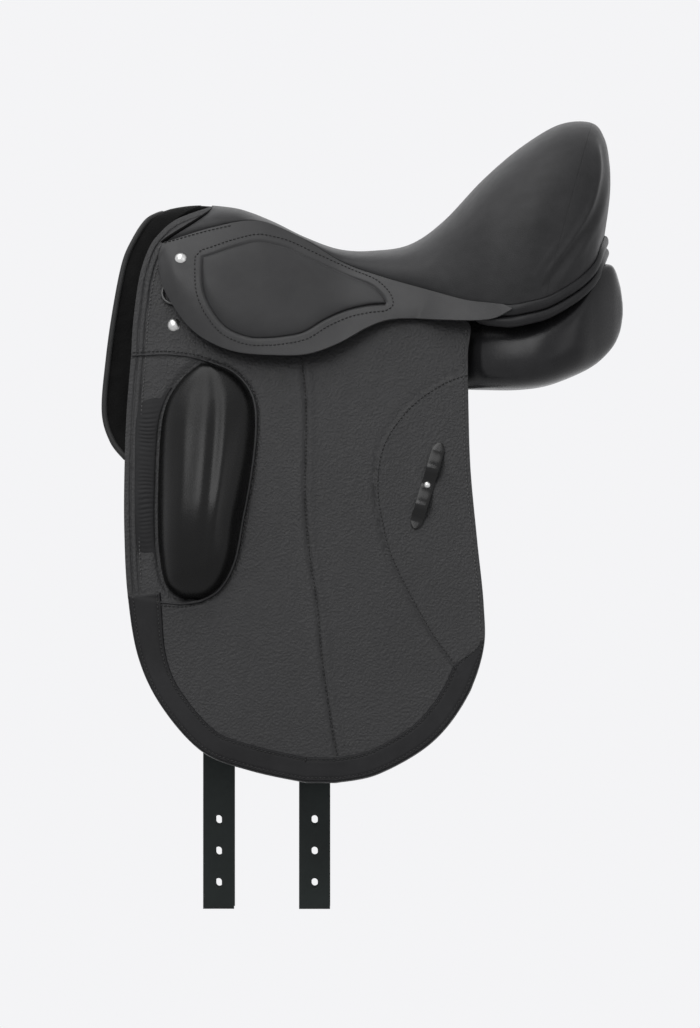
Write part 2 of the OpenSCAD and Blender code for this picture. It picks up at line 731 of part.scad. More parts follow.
// Padded patch on the skirt: its upper and its lower edge, as shares along the skirt and down it
pad_top_edge = [[0.30, 0.19], [0.44, 0.13], [0.52, 0.11], [0.60, 0.14], [0.70, 0.34], [0.725, 0.48]];
pad_low_edge = [
    [0.30, 0.42], [0.33, 0.66], [0.38, 0.80], [0.47, 0.84], [0.58, 0.84], [0.66, 0.72], [0.725, 0.56]
];
pad_edge_t = 1.5;
pad_top = function (s) lookup(s, pad_top_edge);
pad_low = function (s) lookup(s, pad_low_edge);
pad_reach = [0.30, 0.725];

// Height of the patch over the skirt: a crown that falls to a thin edge all round
pad_face = function (s, v)
    let (f = clamp01((v - pad_top(s)) / (pad_low(s) - pad_top(s))),
         g = clamp01((s - pad_reach[0]) / (pad_reach[1] - pad_reach[0])))
    pad_gap + pad_edge_t + pad_crown * sqrt(16 * f * (1 - f) * g * (1 - g));
pad_back = function (s, v) pad_gap;

module skirt(side) {
    color(black_leather)
        on_side(side)
            skirt_layer(skirt_ss, at_top, function (s) above_bend(s, 1), on_face, on_back, 4);
}

module skirt_tail(side) {
    color(black_leather)
        on_side(side)
            let (reach = tail_reach(at_rim))
                skirt_layer(steps(reach[0], reach[1], 22), function (s) below_bend(s, 0), at_rim,
                            on_face, on_back, 3);
}

module skirt_pad(side) {
    color(soft_leather)
        on_side(side)
            skirt_layer(steps(pad_reach[0], pad_reach[1], 14), pad_top,
                        function (s) above_bend(s, pad_low(s)), pad_face, pad_back, 6);
}

module pad_tail(side) {
    color(soft_leather)
        on_side(side)
            let (reach = tail_reach(pad_low))
                skirt_layer(steps(reach[0], reach[1], 12), function (s) below_bend(s, pad_top(s)), pad_low,
                            pad_face, pad_back, 5);
}

// Domed nail heads
module dome(d, h) {
    rotate_extrude()
        intersection() {
            translate([0, h - (d * d / 4 + h * h) / (2 * h)])
                circle(r = (d * d / 4 + h * h) / (2 * h), $fn = 96);
            square([d / 2, h]);
        }
}

nail_s = 0.213;
nail_v = 0.3;
flap_nail_x = -179.5;
flap_nail_z = -26.5;

module skirt_nails() {
    p = skirt_point(nail_s, nail_v, lie);
    n = cross(skirt_point(nail_s, nail_v - 0.05, 0) - skirt_point(nail_s, nail_v + 0.05, 0),
              skirt_point(nail_s + 0.02, nail_v, 0) - skirt_point(nail_s - 0.02, nail_v, 0));
    color(silver)
        for (side = ["left", "right"])
            on_side(side)
                facing(p, n)
                    dome(skirt_nail_d, 3.2);
}

module flap_nails() {
    color(silver)
        for (side = ["left", "right"])
            on_side(side)
                on_flap(flap_nail_x, flap_nail_z)
                    translate([0, lie, 0])
                        rotate([-90, 0, 0])
                            dome(flap_nail_d, 3.6);
}

// Girth straps: flat straps that hang straight down inside the flaps

strap_front_x = -134;
strap_rear_x = -36.5;
strap_pivot_z = -76;
// Thickness and height of the tab that carries the front strap, and thickness of a rivet's head
tab_t = 7;
tab_h = 42;
head_t = 1.2;

// Inner face of a strap, which its carrier lies against
function tab_y(x) = side_y(x - strap_w / 2, strap_pivot_z + strap_w / 2) - flap_t - 2 * lie - strap_t - lie;

module strap_bore(x, y, len) {
    translate([x, y, strap_pivot_z])
        rotate([90, 0, 0])
            cylinder(d = rivet_d + 2 * rivet_clear, h = len, center = true);
}

module girth_strap(x, side) {
    y = tab_y(x) + lie;
    color(strap_leather)
        on_side(side)
            difference() {
                translate([x, y + strap_t, 0])
                    rotate([90, 0, 0])
                        linear_extrude(strap_t)
                            strap_outline();
                strap_bore(x, y, 4 * strap_t);
            }
}

// Outline of a strap with its slots, in the strap's own plane
module strap_outline() {
    difference() {
        union() {
            translate([-strap_w / 2, -strap_drop])
                square([strap_w, strap_drop + strap_pivot_z]);
            translate([0, strap_pivot_z])
                circle(d = strap_w, $fn = 64);
        }
        for (k = [0 : hole_count - 1])
            translate([0, -strap_drop + hole_end + k * hole_pitch]) {
                square([hole_w, hole_h - hole_w], center = true);
                for (s = [-1, 1])
                    translate([0, s * (hole_h - hole_w) / 2])
                        circle(d = hole_w);
            }
    }
}

module strap_rivets() {
    color(steel)
        for (side = ["left", "right"], x = [strap_front_x, strap_rear_x])
            on_side(side)
                translate([x, tab_y(x), strap_pivot_z])
                    rotate([-90, 0, 0]) {
                        translate([0, 0, -web_t])
                            cylinder(d = rivet_d, h = web_t + lie + strap_t + lie);
                        translate([0, 0, strap_t + 2 * lie])
                            cylinder(d = rivet_d + 5, h = head_t);
                    }
}

// Web from the tree's rail down inside the flap to the rear strap
web_t = 2.5;
web_path = [[23.8, 46], [13, 66], [0, 78], [-20, 85], [-38, 90.5]];

module girth_web(side) {
    y = tab_y(strap_rear_x);
    line = concat([for (p = web_path) [p[1], p[0]]],
                  [[y, strap_pivot_z + 24], [y, strap_pivot_z - strap_w / 2]]);
    last = len(line) - 1;
    back = [for (i = [last : -1 : 0]) [line[i][0] - (i > 0 ? web_t : 0), line[i][1] - (i < 2 ? web_t : 0)]];
    color(web_colour)
        on_side(side)
            difference() {
                translate([strap_rear_x - strap_w / 2, 0, 0])
                    rotate([90, 0, 90])
                        linear_extrude(strap_w)
                            polygon(concat(line, back));
                strap_bore(strap_rear_x, y, 4 * web_t);
            }
}

// Stirrup bars with their safety catches
bar_x = -152;
bar_z = -16;
bar_foot = 14;
bar_fit = 1;
tongue_len = 14;

module stirrup_bar(side) {
    foot_in = -tree_out * cos(side_tilt(bar_z)) - lie;
    color(steel)
        on_side(side)
            on_flap(bar_x, bar_z)
                difference() {
                    translate([0, 0, -bar_h / 2])
                        union() {
                            translate([0, -foot_in, 0])
                                cube([bar_foot, foot_in + bar_slot + bar_t, bar_h]);
                            translate([bar_foot - 1, bar_slot, 0])
                                cube([bar_len + 1 - tongue_len, bar_t, bar_h]);
                            translate([bar_foot + bar_len - tongue_len - 1, bar_slot, 0])
                                cube([tongue_len + 1, bar_t / 2 - 0.1, bar_h]);
                        }
                    catch_bore();
                }
}

catch_x = bar_foot + bar_len - tongue_len / 2;

module catch_bore() {
    translate([catch_x, 0, 0])
        rotate([-90, 0, 0])
            cylinder(d = pin_d + 2 * pin_clear, h = 40);
}

module catch_pins() {
    color(steel)
        for (side = ["left", "right"])
            on_side(side)
                on_flap(bar_x, bar_z)
                    translate([catch_x, bar_slot, 0])
                        rotate([-90, 0, 0])
                            cylinder(d = pin_d, h = bar_t);
}

module bar_catch(side) {
    color(steel)
        on_side(side)
            on_flap(bar_x, bar_z)
                difference() {
                    translate([0, bar_slot + bar_t / 2 + 0.1, 0])
                        rotate([-90, 0, 0])
                            linear_extrude(bar_t / 2 - 0.1)
                                union() {
                                    translate([catch_x, 0])
                                        circle(d = bar_h - 0.4);
                                    translate([catch_x, -bar_h / 2 + 0.2])
                                        square([catch_len - bar_h / 2, bar_h - 0.4]);
                                    translate([catch_x + catch_len - bar_h / 2, 0])
                                        circle(d = bar_h - 0.4);
                                }
                    catch_bore();
                }
}

// Dee rings and their clips, under the front rim of the skirts
dee_x = -180;
dee_z = 5;
dee_clip_len = 9;
dee_clear = 0.1;

module dee_ring(side) {
    color(silver)
        on_side(side)
            on_flap(dee_x, dee_z)
                translate([0, dee_wire_d / 2 + lie + 1.4, 0])
                    union() {
                        rotate([90, 0, 0])
                            rotate([0, 0, 90])
                                rotate_extrude(angle = 180)
                                    translate([dee_r, 0])
                                        circle(d = dee_wire_d, $fn = 24);
                        cylinder(d = dee_wire_d, h = 2 * dee_r, center = true, $fn = 24);
                        for (s = [-1, 1])
                            translate([0, 0, s * dee_r])
                                sphere(d = dee_wire_d, $fn = 24);
                    }
}

module dee_clips() {
    color(steel)
        for (side = ["left", "right"])
            on_side(side)
                on_flap(dee_x, dee_z)
                    translate([0, dee_wire_d / 2 + lie + 1.4, 0])
                        difference() {
                            union() {
                                cylinder(d = dee_wire_d + 2.6, h = dee_clip_len, center = true);
                                translate([0, -dee_wire_d / 2 - 1.3, -dee_clip_len / 2])
                                    cube([14, 1.3, dee_clip_len]);
                            }
                            cylinder(d = dee_wire_d + 2 * dee_clear, h = 2 * dee_clip_len, center = true);
                        }
}

// Stirrup leather keepers: a strap with two loops, held by a stud in its middle
keeper_mid = [78, -190];
keeper_slant = 17;

// A point of the keeper: t runs along it, w across it, up is the height on the flap
function keeper_point(t, w, up) =
    let (tip = min(1, 1.6 * sqrt(1 - t * t) + 0.12), a = t * keeper_len / 2, b = w * keeper_w / 2 * tip,
         loop = keeper_rise * pow(sin(min(abs(t) / 0.86, 1) * 180), 2))
    side_point(keeper_mid[0] + a * sin(keeper_slant) + b * cos(keeper_slant),
               keeper_mid[1] + a * cos(keeper_slant) - b * sin(keeper_slant), lie + loop + up);

module keeper(side) {
    grid = function (up) [for (t = steps(-1, 1, 24)) [for (w = [-1, 0, 1]) keeper_point(t, w, up)]];
    color(black_leather)
        on_side(side)
            sheet(grid(keeper_t), grid(0));
}

module keeper_studs(side) {
    color(silver)
        on_side(side)
            on_flap(keeper_mid[0], keeper_mid[1])
                translate([0, keeper_t + 3 * lie, 0])
                    rotate([-90, 0, 0])
                        dome(stud_d, 2.2);
}

tree_head();
tree_rail("left");  // tree_rail_left
tree_rail("right");  // tree_rail_right
tree_cantle();
head_plate();
spring_strip("left");  // spring_left
spring_strip("right");  // spring_right
seat_webs();
seat_foam();
seat_cover();
cantle_back();
seat_welt();
panel_welt();
gullet_lining();
panel("left");  // panel_left
panel("right");  // panel_right
front_arch();
flap_head("left");  // flap_head_left
flap_head("right");  // flap_head_right
flap("left");  // flap_left
flap("right");  // flap_right
flap_band("left");  // flap_band_left
flap_band("right");  // flap_band_right
knee_block("left");  // knee_block_left
knee_block("right");  // knee_block_right
skirt("left");  // skirt_left
skirt("right");  // skirt_right
skirt_tail("left");  // skirt_tail_left
skirt_tail("right");  // skirt_tail_right
skirt_pad("left");  // skirt_pad_left
skirt_pad("right");  // skirt_pad_right
pad_tail("left");  // pad_tail_left
pad_tail("right");  // pad_tail_right
skirt_nails();
flap_nails();
girth_web("left");  // girth_web_left
girth_web("right");  // girth_web_right
strap_rivets();
girth_strap(strap_front_x, "left");  // strap_front_left
girth_strap(strap_front_x, "right");  // strap_front_right
girth_strap(strap_rear_x, "left");  // strap_rear_left
girth_strap(strap_rear_x, "right");  // strap_rear_right
stirrup_bar("left");  // stirrup_bar_left
stirrup_bar("right");  // stirrup_bar_right
catch_pins();
bar_catch("left");  // bar_catch_left
bar_catch("right");  // bar_catch_right
dee_clips();
dee_ring("left");  // dee_ring_left
dee_ring("right");  // dee_ring_right
keeper("left");  // keeper_left
keeper("right");  // keeper_right
keeper_studs("left");  // keeper_studs_left
keeper_studs("right");  // keeper_studs_right
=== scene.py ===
import math

import bpy
import numpy as np
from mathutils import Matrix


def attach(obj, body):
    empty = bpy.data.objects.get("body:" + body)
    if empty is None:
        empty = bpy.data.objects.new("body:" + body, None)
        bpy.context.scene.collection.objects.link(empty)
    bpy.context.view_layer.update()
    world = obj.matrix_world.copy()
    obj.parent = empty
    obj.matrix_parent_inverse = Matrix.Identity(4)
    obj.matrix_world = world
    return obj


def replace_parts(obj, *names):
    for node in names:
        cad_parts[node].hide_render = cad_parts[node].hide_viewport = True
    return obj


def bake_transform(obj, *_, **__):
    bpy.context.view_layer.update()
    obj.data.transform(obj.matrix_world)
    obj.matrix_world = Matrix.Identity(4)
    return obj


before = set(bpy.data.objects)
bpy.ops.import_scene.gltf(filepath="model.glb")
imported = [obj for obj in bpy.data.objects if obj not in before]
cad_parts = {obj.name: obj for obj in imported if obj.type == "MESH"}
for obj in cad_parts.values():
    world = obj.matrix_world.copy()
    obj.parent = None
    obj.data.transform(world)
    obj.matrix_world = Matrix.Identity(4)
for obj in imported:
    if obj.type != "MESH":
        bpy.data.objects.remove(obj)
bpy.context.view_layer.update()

# Tree
# The frame inside the saddle: a moulded beech head, rails and cantle, a steel head plate and two spring
# strips riveted along the rails. Nothing of it shows while the saddle is covered.


class Value:
    """One output of a shader node; a sum or product with it adds a Math node."""

    def __init__(self, finish, socket):
        self.finish = finish
        self.socket = socket

    def math(self, operation, *values):
        """Adds a Math node that works on the given values."""
        return self.finish.node("ShaderNodeMath", {"operation": operation}, dict(enumerate(values)))

    def __add__(self, other):
        return self.math("ADD", self, other)

    def __sub__(self, other):
        return self.math("SUBTRACT", self, other)

    def __mul__(self, other):
        return self.math("MULTIPLY", self, other)

    def __radd__(self, other):
        return self.math("ADD", other, self)

    def __rsub__(self, other):
        return self.math("SUBTRACT", other, self)

    def __rmul__(self, other):
        return self.math("MULTIPLY", other, self)

    def between(self, low, high):
        """Eased share of the way from low to high."""
        return self.finish.node("ShaderNodeMapRange", {"interpolation_type": "SMOOTHSTEP"},
                                {"Value": self, "From Min": low, "From Max": high})


class Finish:
    """A material that is put together from shader nodes."""

    def __init__(self, name):
        self.material = bpy.data.materials.new(name)
        self.material.use_nodes = True
        self.tree = self.material.node_tree
        self.shader = self.tree.nodes["Principled BSDF"]

    def node(self, kind, settings=None, inputs=None, output=0):
        """Adds a node: its settings first, then the values or links of its sockets; gives one output."""
        made = self.tree.nodes.new(kind)
        for key, value in (settings or {}).items():
            setattr(made, key, value)
        for key, value in (inputs or {}).items():
            self.join(made.inputs[key], value)
        return Value(self, made.outputs[output])

    def join(self, socket, value):
        """Links a node's output to a socket, or sets the socket to a number or colour."""
        if isinstance(value, Value):
            self.tree.links.new(value.socket, socket)
        else:
            socket.default_value = value

    def set(self, **sockets):
        """Sets or links sockets of the surface shader; an underscore stands for a space."""
        for key, value in sockets.items():
            self.join(self.shader.inputs[key.replace("_", " ")], value)

    def place(self):
        """Object coordinates."""
        return self.node("ShaderNodeTexCoord", output=3)

    def stretched(self, scale):
        """Object coordinates, scaled along each axis."""
        return self.node("ShaderNodeMapping", {}, {"Vector": self.place(), "Scale": scale})

    def noise(self, vector, scale, detail=3.0, roughness=0.55):
        """Clouds of the given scale."""
        return self.node("ShaderNodeTexNoise", {},
                         {"Vector": vector, "Scale": scale, "Detail": detail, "Roughness": roughness})

    def cells(self, vector, scale, feature="F1"):
        """Distance from the nearest of scattered points."""
        return self.node("ShaderNodeTexVoronoi", {"feature": feature},
                         {"Vector": vector, "Scale": scale})

    def tint(self, share, low, high):
        """Mixes two colours by a share from 0 to 1."""
        return self.node("ShaderNodeMix", {"data_type": "RGBA"},
                         {0: share, 6: (*low, 1.0), 7: (*high, 1.0)}, 2)

    def relief(self, height, distance):
        """Bumps of the given height over a distance in metres, for the normal."""
        self.set(Normal=self.node("ShaderNodeBump", {}, {"Height": height, "Distance": distance}))


def beech():
    """Wood under dark lacquer: fibres stretched along the saddle, in two tones, with a dull shine."""
    wood = Finish("beech")
    fibre = wood.noise(wood.stretched((6.0, 60.0, 60.0)), 9.0, 5.0)
    wood.set(Base_Color=wood.tint(fibre.between(0.3, 0.7), (0.010, 0.008, 0.006), (0.026, 0.018, 0.012)),
             Roughness=0.45 + 0.2 * fibre)
    wood.relief(fibre, 0.0003)
    return wood.material


def drawn_steel(name, tone, rough):
    """Bare steel: fine scratches along the strip, with a cloudy finish."""
    steel = Finish(name)
    scratch = steel.noise(steel.stretched((30.0, 900.0, 900.0)), 3.0, 4.0)
    cloud = steel.noise(steel.place(), 40.0)
    steel.set(Base_Color=steel.tint(cloud, tuple(0.8 * c for c in tone), tone), Metallic=1.0,
              Roughness=rough + 0.2 * scratch)
    steel.relief(scratch, 0.0001)
    return steel.material


def dress(finish, *nodes):
    """Gives the CAD nodes of these names a material."""
    for node in nodes:
        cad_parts[node].data.materials.clear()
        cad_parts[node].data.materials.append(finish)


plain_steel = drawn_steel("plain_steel", (0.56, 0.56, 0.57), 0.25)
dress(beech(), "tree_head", "tree_rail_left", "tree_rail_right", "tree_cantle")
dress(plain_steel, "head_plate", "strap_rivets")
dress(drawn_steel("spring_steel", (0.3, 0.31, 0.35), 0.3), "spring_left", "spring_right")

# Seat foam and cross webs
# A slab of dense foam lies on woven webs that are strained across the tree. Both stay under the leather.


def foam():
    """Open foam: small pale cells."""
    slab = Finish("foam")
    pores = slab.cells(slab.place(), 700.0)
    slab.set(Base_Color=slab.tint(pores, (0.5, 0.46, 0.34), (0.74, 0.7, 0.56)), Roughness=0.95)
    slab.relief(pores, 0.0004)
    return slab.material


def webbing():
    """Woven web: crossing threads, from two sets of waves at right angles."""
    web = Finish("webbing")
    across = web.node("ShaderNodeTexWave", {"bands_direction": "X"},
                      {"Vector": web.place(), "Scale": 260.0, "Distortion": 0.4}, 1)
    along = web.node("ShaderNodeTexWave", {"bands_direction": "Z"},
                     {"Vector": web.place(), "Scale": 260.0, "Distortion": 0.4}, 1)
    thread = across * along
    web.set(Base_Color=web.tint(thread, (0.42, 0.4, 0.33), (0.68, 0.65, 0.56)), Roughness=0.9)
    web.relief(thread, 0.0004)
    return web.material


web_finish = webbing()
dress(foam(), "seat_foam")
dress(web_finish, "seat_webs")

# Seat
# Soft black leather drawn over the foam, from the pommel through the deep middle up to the cantle, with a
# second piece down the back of the cantle. Both are sewn into the seam round the seat. A thin near-black
# cord in front of the seat's front edge is painted shadow: it stands for the shaded slot between that edge
# and the flaps' heads.

MM = 0.001
POMMEL_H = 97.0
POMMEL_X = 141.0
DIP_H = 50.0
CANTLE_H = 184.0
CANTLE_X = 265.0
TWIST_W = 51.0
SEAT_W = 139.0
SEAT_RIDGE = 11 / 16
SEAT_MIDDLE = [
    (-POMMEL_X, POMMEL_H - 1), (-POMMEL_X + 29, POMMEL_H - 5), (-80, POMMEL_H - 17), (-45, DIP_H + 13),
    (-10, DIP_H + 1), (25, DIP_H), (60, DIP_H + 8), (95, DIP_H + 33), (135, CANTLE_H - 59),
    (CANTLE_X - 90, CANTLE_H - 25), (CANTLE_X - 53, CANTLE_H - 4), (CANTLE_X - 19, CANTLE_H - 4),
    (CANTLE_X - 6, CANTLE_H - 20), (CANTLE_X - 1, CANTLE_H - 44), (CANTLE_X, CANTLE_H - 69),
    (CANTLE_X - 2, CANTLE_H - 92), (CANTLE_X - 6, 65)]
SEAT_SEAM = [
    (-POMMEL_X - 50, TWIST_W + 9, 57), (-POMMEL_X + 1, TWIST_W + 6, 73), (-95, TWIST_W, 79.5),
    (-50, TWIST_W + 2, 62), (-8, TWIST_W + 13, 37), (30, SEAT_W - 57, 23), (75, SEAT_W - 36, 10),
    (115, SEAT_W - 18, -1), (142, SEAT_W - 6, -4.5), (162, SEAT_W - 1, -6), (180, SEAT_W, -3),
    (199, SEAT_W - 3, 2), (218, SEAT_W - 11, 12), (235, SEAT_W - 24, 24), (248, SEAT_W - 42, 38),
    (CANTLE_X - 11, SEAT_W - 67, 53), (CANTLE_X - 6, 28, 65)]
RIB_FULLNESS = 2.3
BUCKET = 3.0
FRONT_CUT = 5.0
SEAT_SWELL = 6.0
SEAT_T = 2.3
SEAT_EDGE = 0.8
BACK_GAP = 0.0004


def mix(a, b, share):
    """Straight mix from a to b."""
    return a + (b - a) * share


def ease(share):
    """Smooth step from 0 to 1."""
    c = np.clip(share, 0.0, 1.0)
    return c * c * (3.0 - 2.0 * c)


def bump_at(x, middle, width):
    """A bell of height 1."""
    return np.exp(-(((x - middle) / width) ** 2))


def bells(x, table):
    """Sum of the bells in a table of heights, middles and widths."""
    return sum(height * bump_at(x, middle, width) for height, middle, width in table)


def through(points, share):
    """Catmull-Rom curve through a list of points, at shares from 0 to 1 of the list."""
    pts = np.asarray(points, float)
    last = len(pts) - 1
    s = np.clip(np.asarray(share, float), 0.0, 1.0) * last
    i = np.minimum(s.astype(int), last - 1)
    f = (s - i)[..., None]
    a, b, c, d = pts[np.maximum(i - 1, 0)], pts[i], pts[i + 1], pts[np.minimum(i + 2, last)]
    return 0.5 * (2 * b + (c - a) * f + (2 * a - 5 * b + 4 * c - d) * f**2
                  + (3 * b - a - 3 * c + d) * f**3)


def unit(v):
    """Vectors brought to length 1."""
    return v / np.maximum(np.linalg.norm(v, axis=-1, keepdims=True), 1e-9)


def grid_of(a, b):
    """Two arrays that hold every pair of a and b."""
    return np.meshgrid(a, b, indexing="ij")


def seat_point(u, v, depth=0.0):
    """Rib of the seat: from the seam up to the middle line along a full ellipse, less the hollow across the
    rear; depth moves it inwards where the rib is domed and down where it is flat, and the cut
    straightens the front edge."""
    c, s = through(SEAT_MIDDLE, u), through(SEAT_SEAM, u)
    step = 0.01
    ct = unit(through(SEAT_MIDDLE, u + step) - through(SEAT_MIDDLE, u - step))
    st = unit((through(SEAT_SEAM, u + step) - through(SEAT_SEAM, u - step))[..., :2])
    cx, cz = c[..., 0] + depth * ct[..., 1], c[..., 1] - depth * ct[..., 0]
    inset = depth * np.maximum(ease((c[..., 1] - s[..., 2]) / 50), ease((u - SEAT_RIDGE) / 0.02))
    sx, sy = s[..., 0] + inset * st[..., 1], s[..., 1] - inset * st[..., 0]
    sz = s[..., 2] - depth + inset
    a = 0.5 * np.pi * np.abs(v)
    across = np.sin(a) ** (2 / RIB_FULLNESS)
    up = np.maximum(np.cos(a), 0.0) ** (2 / RIB_FULLNESS)
    hollow = BUCKET * ease((u - 0.3) / 0.12) * ease((SEAT_RIDGE - u) / 0.1) * (1 - v * v) ** 2
    cut = bump_at(u, 0.0, 0.03) * np.sin(2 * a)
    return np.stack([mix(cx, sx, 1 - np.cos(a)) + FRONT_CUT * cut, np.sign(v) * sy * across,
                     mix(sz, cz, up) - hollow - 0.4 * FRONT_CUT * cut], axis=-1)


def in_scene(name, data):
    """A new object in the scene that holds a mesh, a lamp or a camera."""
    made = bpy.data.objects.new(name, data)
    bpy.context.scene.collection.objects.link(made)
    return made


def piece_of(name, points, faces, finish):
    """A new piece from points in millimetres and the faces between them."""
    mesh = bpy.data.meshes.new(name)
    mesh.from_pydata((points.reshape(-1, 3) * MM).tolist(), [], faces, shade_flat=False)
    mesh.materials.append(finish)
    return in_scene(name, mesh)


def skin(name, grid, finish, flip=False, closed=False, capped=False):
    """A surface over a grid of points in millimetres; closed joins the last column to the first, and capped
    shuts the first and last row."""
    n, m = grid.shape[:2]
    index = np.arange(n * m).reshape(n, m)
    ring = np.concatenate([index, index[:, :1]], axis=1) if closed else index
    quads = np.stack([ring[:-1, :-1], ring[1:, :-1], ring[1:, 1:], ring[:-1, 1:]], axis=-1).reshape(-1, 4)
    faces = (quads[:, ::-1] if flip else quads).tolist()
    if capped:
        ends = [index[0], index[-1][::-1]]
        faces += [(end[::-1] if flip else end).tolist() for end in ends]
    return piece_of(name, grid, faces, finish)


def thicken(piece, thickness, edge):
    """Gives a skin its leather thickness on the inner side, with a rounded edge."""
    wall = piece.modifiers.new("thickness", "SOLIDIFY")
    wall.thickness = thickness * MM
    wall.offset = -1
    soft = piece.modifiers.new("edge", "BEVEL")
    soft.width = edge * MM
    soft.segments = 3
    soft.limit_method = "ANGLE"
    soft.angle_limit = math.radians(50)
    return piece


def leather(name, tone, pebble, depth, rough, gloss=0.0, mottle=0.25, fibre=0.0, shine=0.5):
    """Dyed leather: pebbles of the given size in millimetres over fine pores, cloudy dye, and a thin dressing
    whose shine varies; fibre gives the nap of a brushed face."""
    hide = Finish(name)
    at = hide.place()
    warp = hide.noise(at, 90.0, 2.0)
    pebbles = hide.cells(at, 1000.0 / pebble, "SMOOTH_F1")
    pores = hide.noise(at, 1400.0 / pebble, 4.0, 0.65)
    cloud = hide.noise(at, 11.0, 4.0, 0.6)
    streak = hide.noise(hide.stretched((30.0, 30.0, 9.0)), 3.0, 3.0)
    light = tuple(min(1.0, c * (1 + 2.2 * mottle)) for c in tone)
    dark = tuple(c * (1 - mottle) for c in tone)
    dye = cloud * 0.6 + warp * 0.15 + pores * 0.25
    hide.set(Base_Color=hide.tint(dye.between(0.3, 0.72), dark, light),
             Roughness=rough + 0.16 * (pores - 0.5) + 0.14 * (streak - 0.5) - 0.06 * pebbles,
             Specular_IOR_Level=shine, Coat_Weight=gloss, Coat_Roughness=0.22,
             Sheen_Weight=fibre, Sheen_Roughness=0.6)
    hide.relief(pebbles * 0.7 + pores * 0.5, depth * MM)
    return hide.material


seat_leather = leather("seat_leather", (0.031, 0.031, 0.032), pebble=1.1, depth=0.16, rough=0.50,
                       gloss=0.02, shine=0.17)


def distance(x, z, line):
    """Signed distance of points from a line in the side view, and how far along the line they lie."""
    a, b = line[:-1], line[1:]
    d = b - a
    length = np.linalg.norm(d, axis=-1)
    px, pz = x[..., None] - a[:, 0], z[..., None] - a[:, 1]
    t = np.clip((px * d[:, 0] + pz * d[:, 1]) / length**2, 0, 1)
    off = np.hypot(px - t * d[:, 0], pz - t * d[:, 1])
    near = np.argmin(off, axis=-1)[..., None]
    side = np.sign(d[:, 0] * pz - d[:, 1] * px)
    along = np.concatenate([[0], np.cumsum(length)[:-1]]) + t * length
    return (np.take_along_axis(off * side, near, axis=-1)[..., 0],
            np.take_along_axis(along, near, axis=-1)[..., 0])


def on_seat(u, v):
    """Point of the seat's face, held at the seam past its edge."""
    return seat_point(u, np.clip(v, -1, 1))


CREASE = [(251, 166), (252, 150), (251, 127.5), (243, 91), (228.5, 63), (212, 39), (198, 18)]
CREASE_LEN = 172.0
CREASE_FOLDS = ((2.0, -2.5, 3.2), (-2.2, 4.5, 4.5), (0.9, 12, 4))
INNER_FOLD = ((0.9, -11, 3.0),)
crease = through(CREASE, np.linspace(0, 1, 60))


def seat_folds(u, v):
    """Swelling of the seat leather over the side of the cantle, which tucks it in at the seam, and the crease
    round the cantle's back with a lip in front of it and a hollow behind it."""
    at = on_seat(u, v)
    off, run = distance(at[..., 0], at[..., 2], crease)
    fade = ease(run / 25) * ease((CREASE_LEN - run) / 30) * ease((np.abs(v) - 0.12) / 0.2)
    fold = bells(off, CREASE_FOLDS)
    inner = bells(off, INNER_FOLD) * ease((run - 95) / 30)
    swell = SEAT_SWELL * bump_at(np.abs(v), 0.56, 0.26) * ease((u - 0.4) / 0.12) * ease((0.9 - u) / 0.15)
    return (fold + inner) * fade + swell


def lifted(place, u, v, height):
    """Moves the points of a surface out along its normal, which comes from small steps in both directions."""
    step = 0.002
    du = place(u + step, v) - place(u - step, v)
    dv = place(u, v + step) - place(u, v - step)
    return place(u, v) + unit(np.cross(du, dv)) * height[..., None]


def across_rib(count):
    """Places from -1 to 1 across the seat, closer together at the seams."""
    return np.sin(np.linspace(-1, 1, count) * np.pi / 2)


rib = across_rib(121)
seat_u, seat_v = grid_of(np.linspace(0, SEAT_RIDGE, 190), rib)
seat_shape = lifted(on_seat, seat_u, seat_v, seat_folds(seat_u, seat_v))
seat_cover = thicken(skin("seat_cover", seat_shape, seat_leather), SEAT_T, SEAT_EDGE)
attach(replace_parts(seat_cover, "seat_cover"), "saddle")

back_u, back_v = grid_of(np.linspace(SEAT_RIDGE + BACK_GAP, 1, 80), rib)
back_shape = lifted(on_seat, back_u, back_v, seat_folds(back_u, back_v))
cantle_back = thicken(skin("cantle_back", back_shape, seat_leather), SEAT_T, SEAT_EDGE)
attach(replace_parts(cantle_back, "cantle_back"), "saddle")

# The front cord is painted shadow: a near-black cord, sunk in the middle, laid where there is only the shaded
# slot between the seat's front edge and the flaps.
SLOT_SHADE_R = 1.7
SLOT_SHADE_FORWARD = 1.4
SLOT_SHADE_SUNK = 3.5
SLOT_SHADE_OUT = (-1.0, 0.0, 0.3)
slot_shade_v = across_rib(160)
slot_shade_line = on_seat(0 * slot_shade_v + 0.001, slot_shade_v) - (SLOT_SHADE_FORWARD, 0.0, 0.0)
slot_shade_line[:, 2] -= SLOT_SHADE_SUNK * bump_at(slot_shade_v, 0.0, 0.3)


def full_turn(count):
    """Angles round a full turn."""
    return np.linspace(0, 2 * np.pi, count, endpoint=False)


def square_to(way, out):
    """The part of out that is square to the way of a line, at length 1."""
    return unit(out - np.sum(out * way, axis=-1, keepdims=True) * way)


def cord_along(line, out, radius, turns, squash=1.0):
    """A round cord carried along a line; out is the way its section faces."""
    way = unit(np.gradient(line, axis=0))
    out = square_to(way, np.array(out))
    side = np.cross(way, out)
    a = full_turn(turns)
    ring = (np.cos(a)[None, :, None] * out[:, None, :] * squash
            + np.sin(a)[None, :, None] * side[:, None, :])
    return line[:, None, :] + np.asarray(radius).reshape(-1, 1, 1) * ring


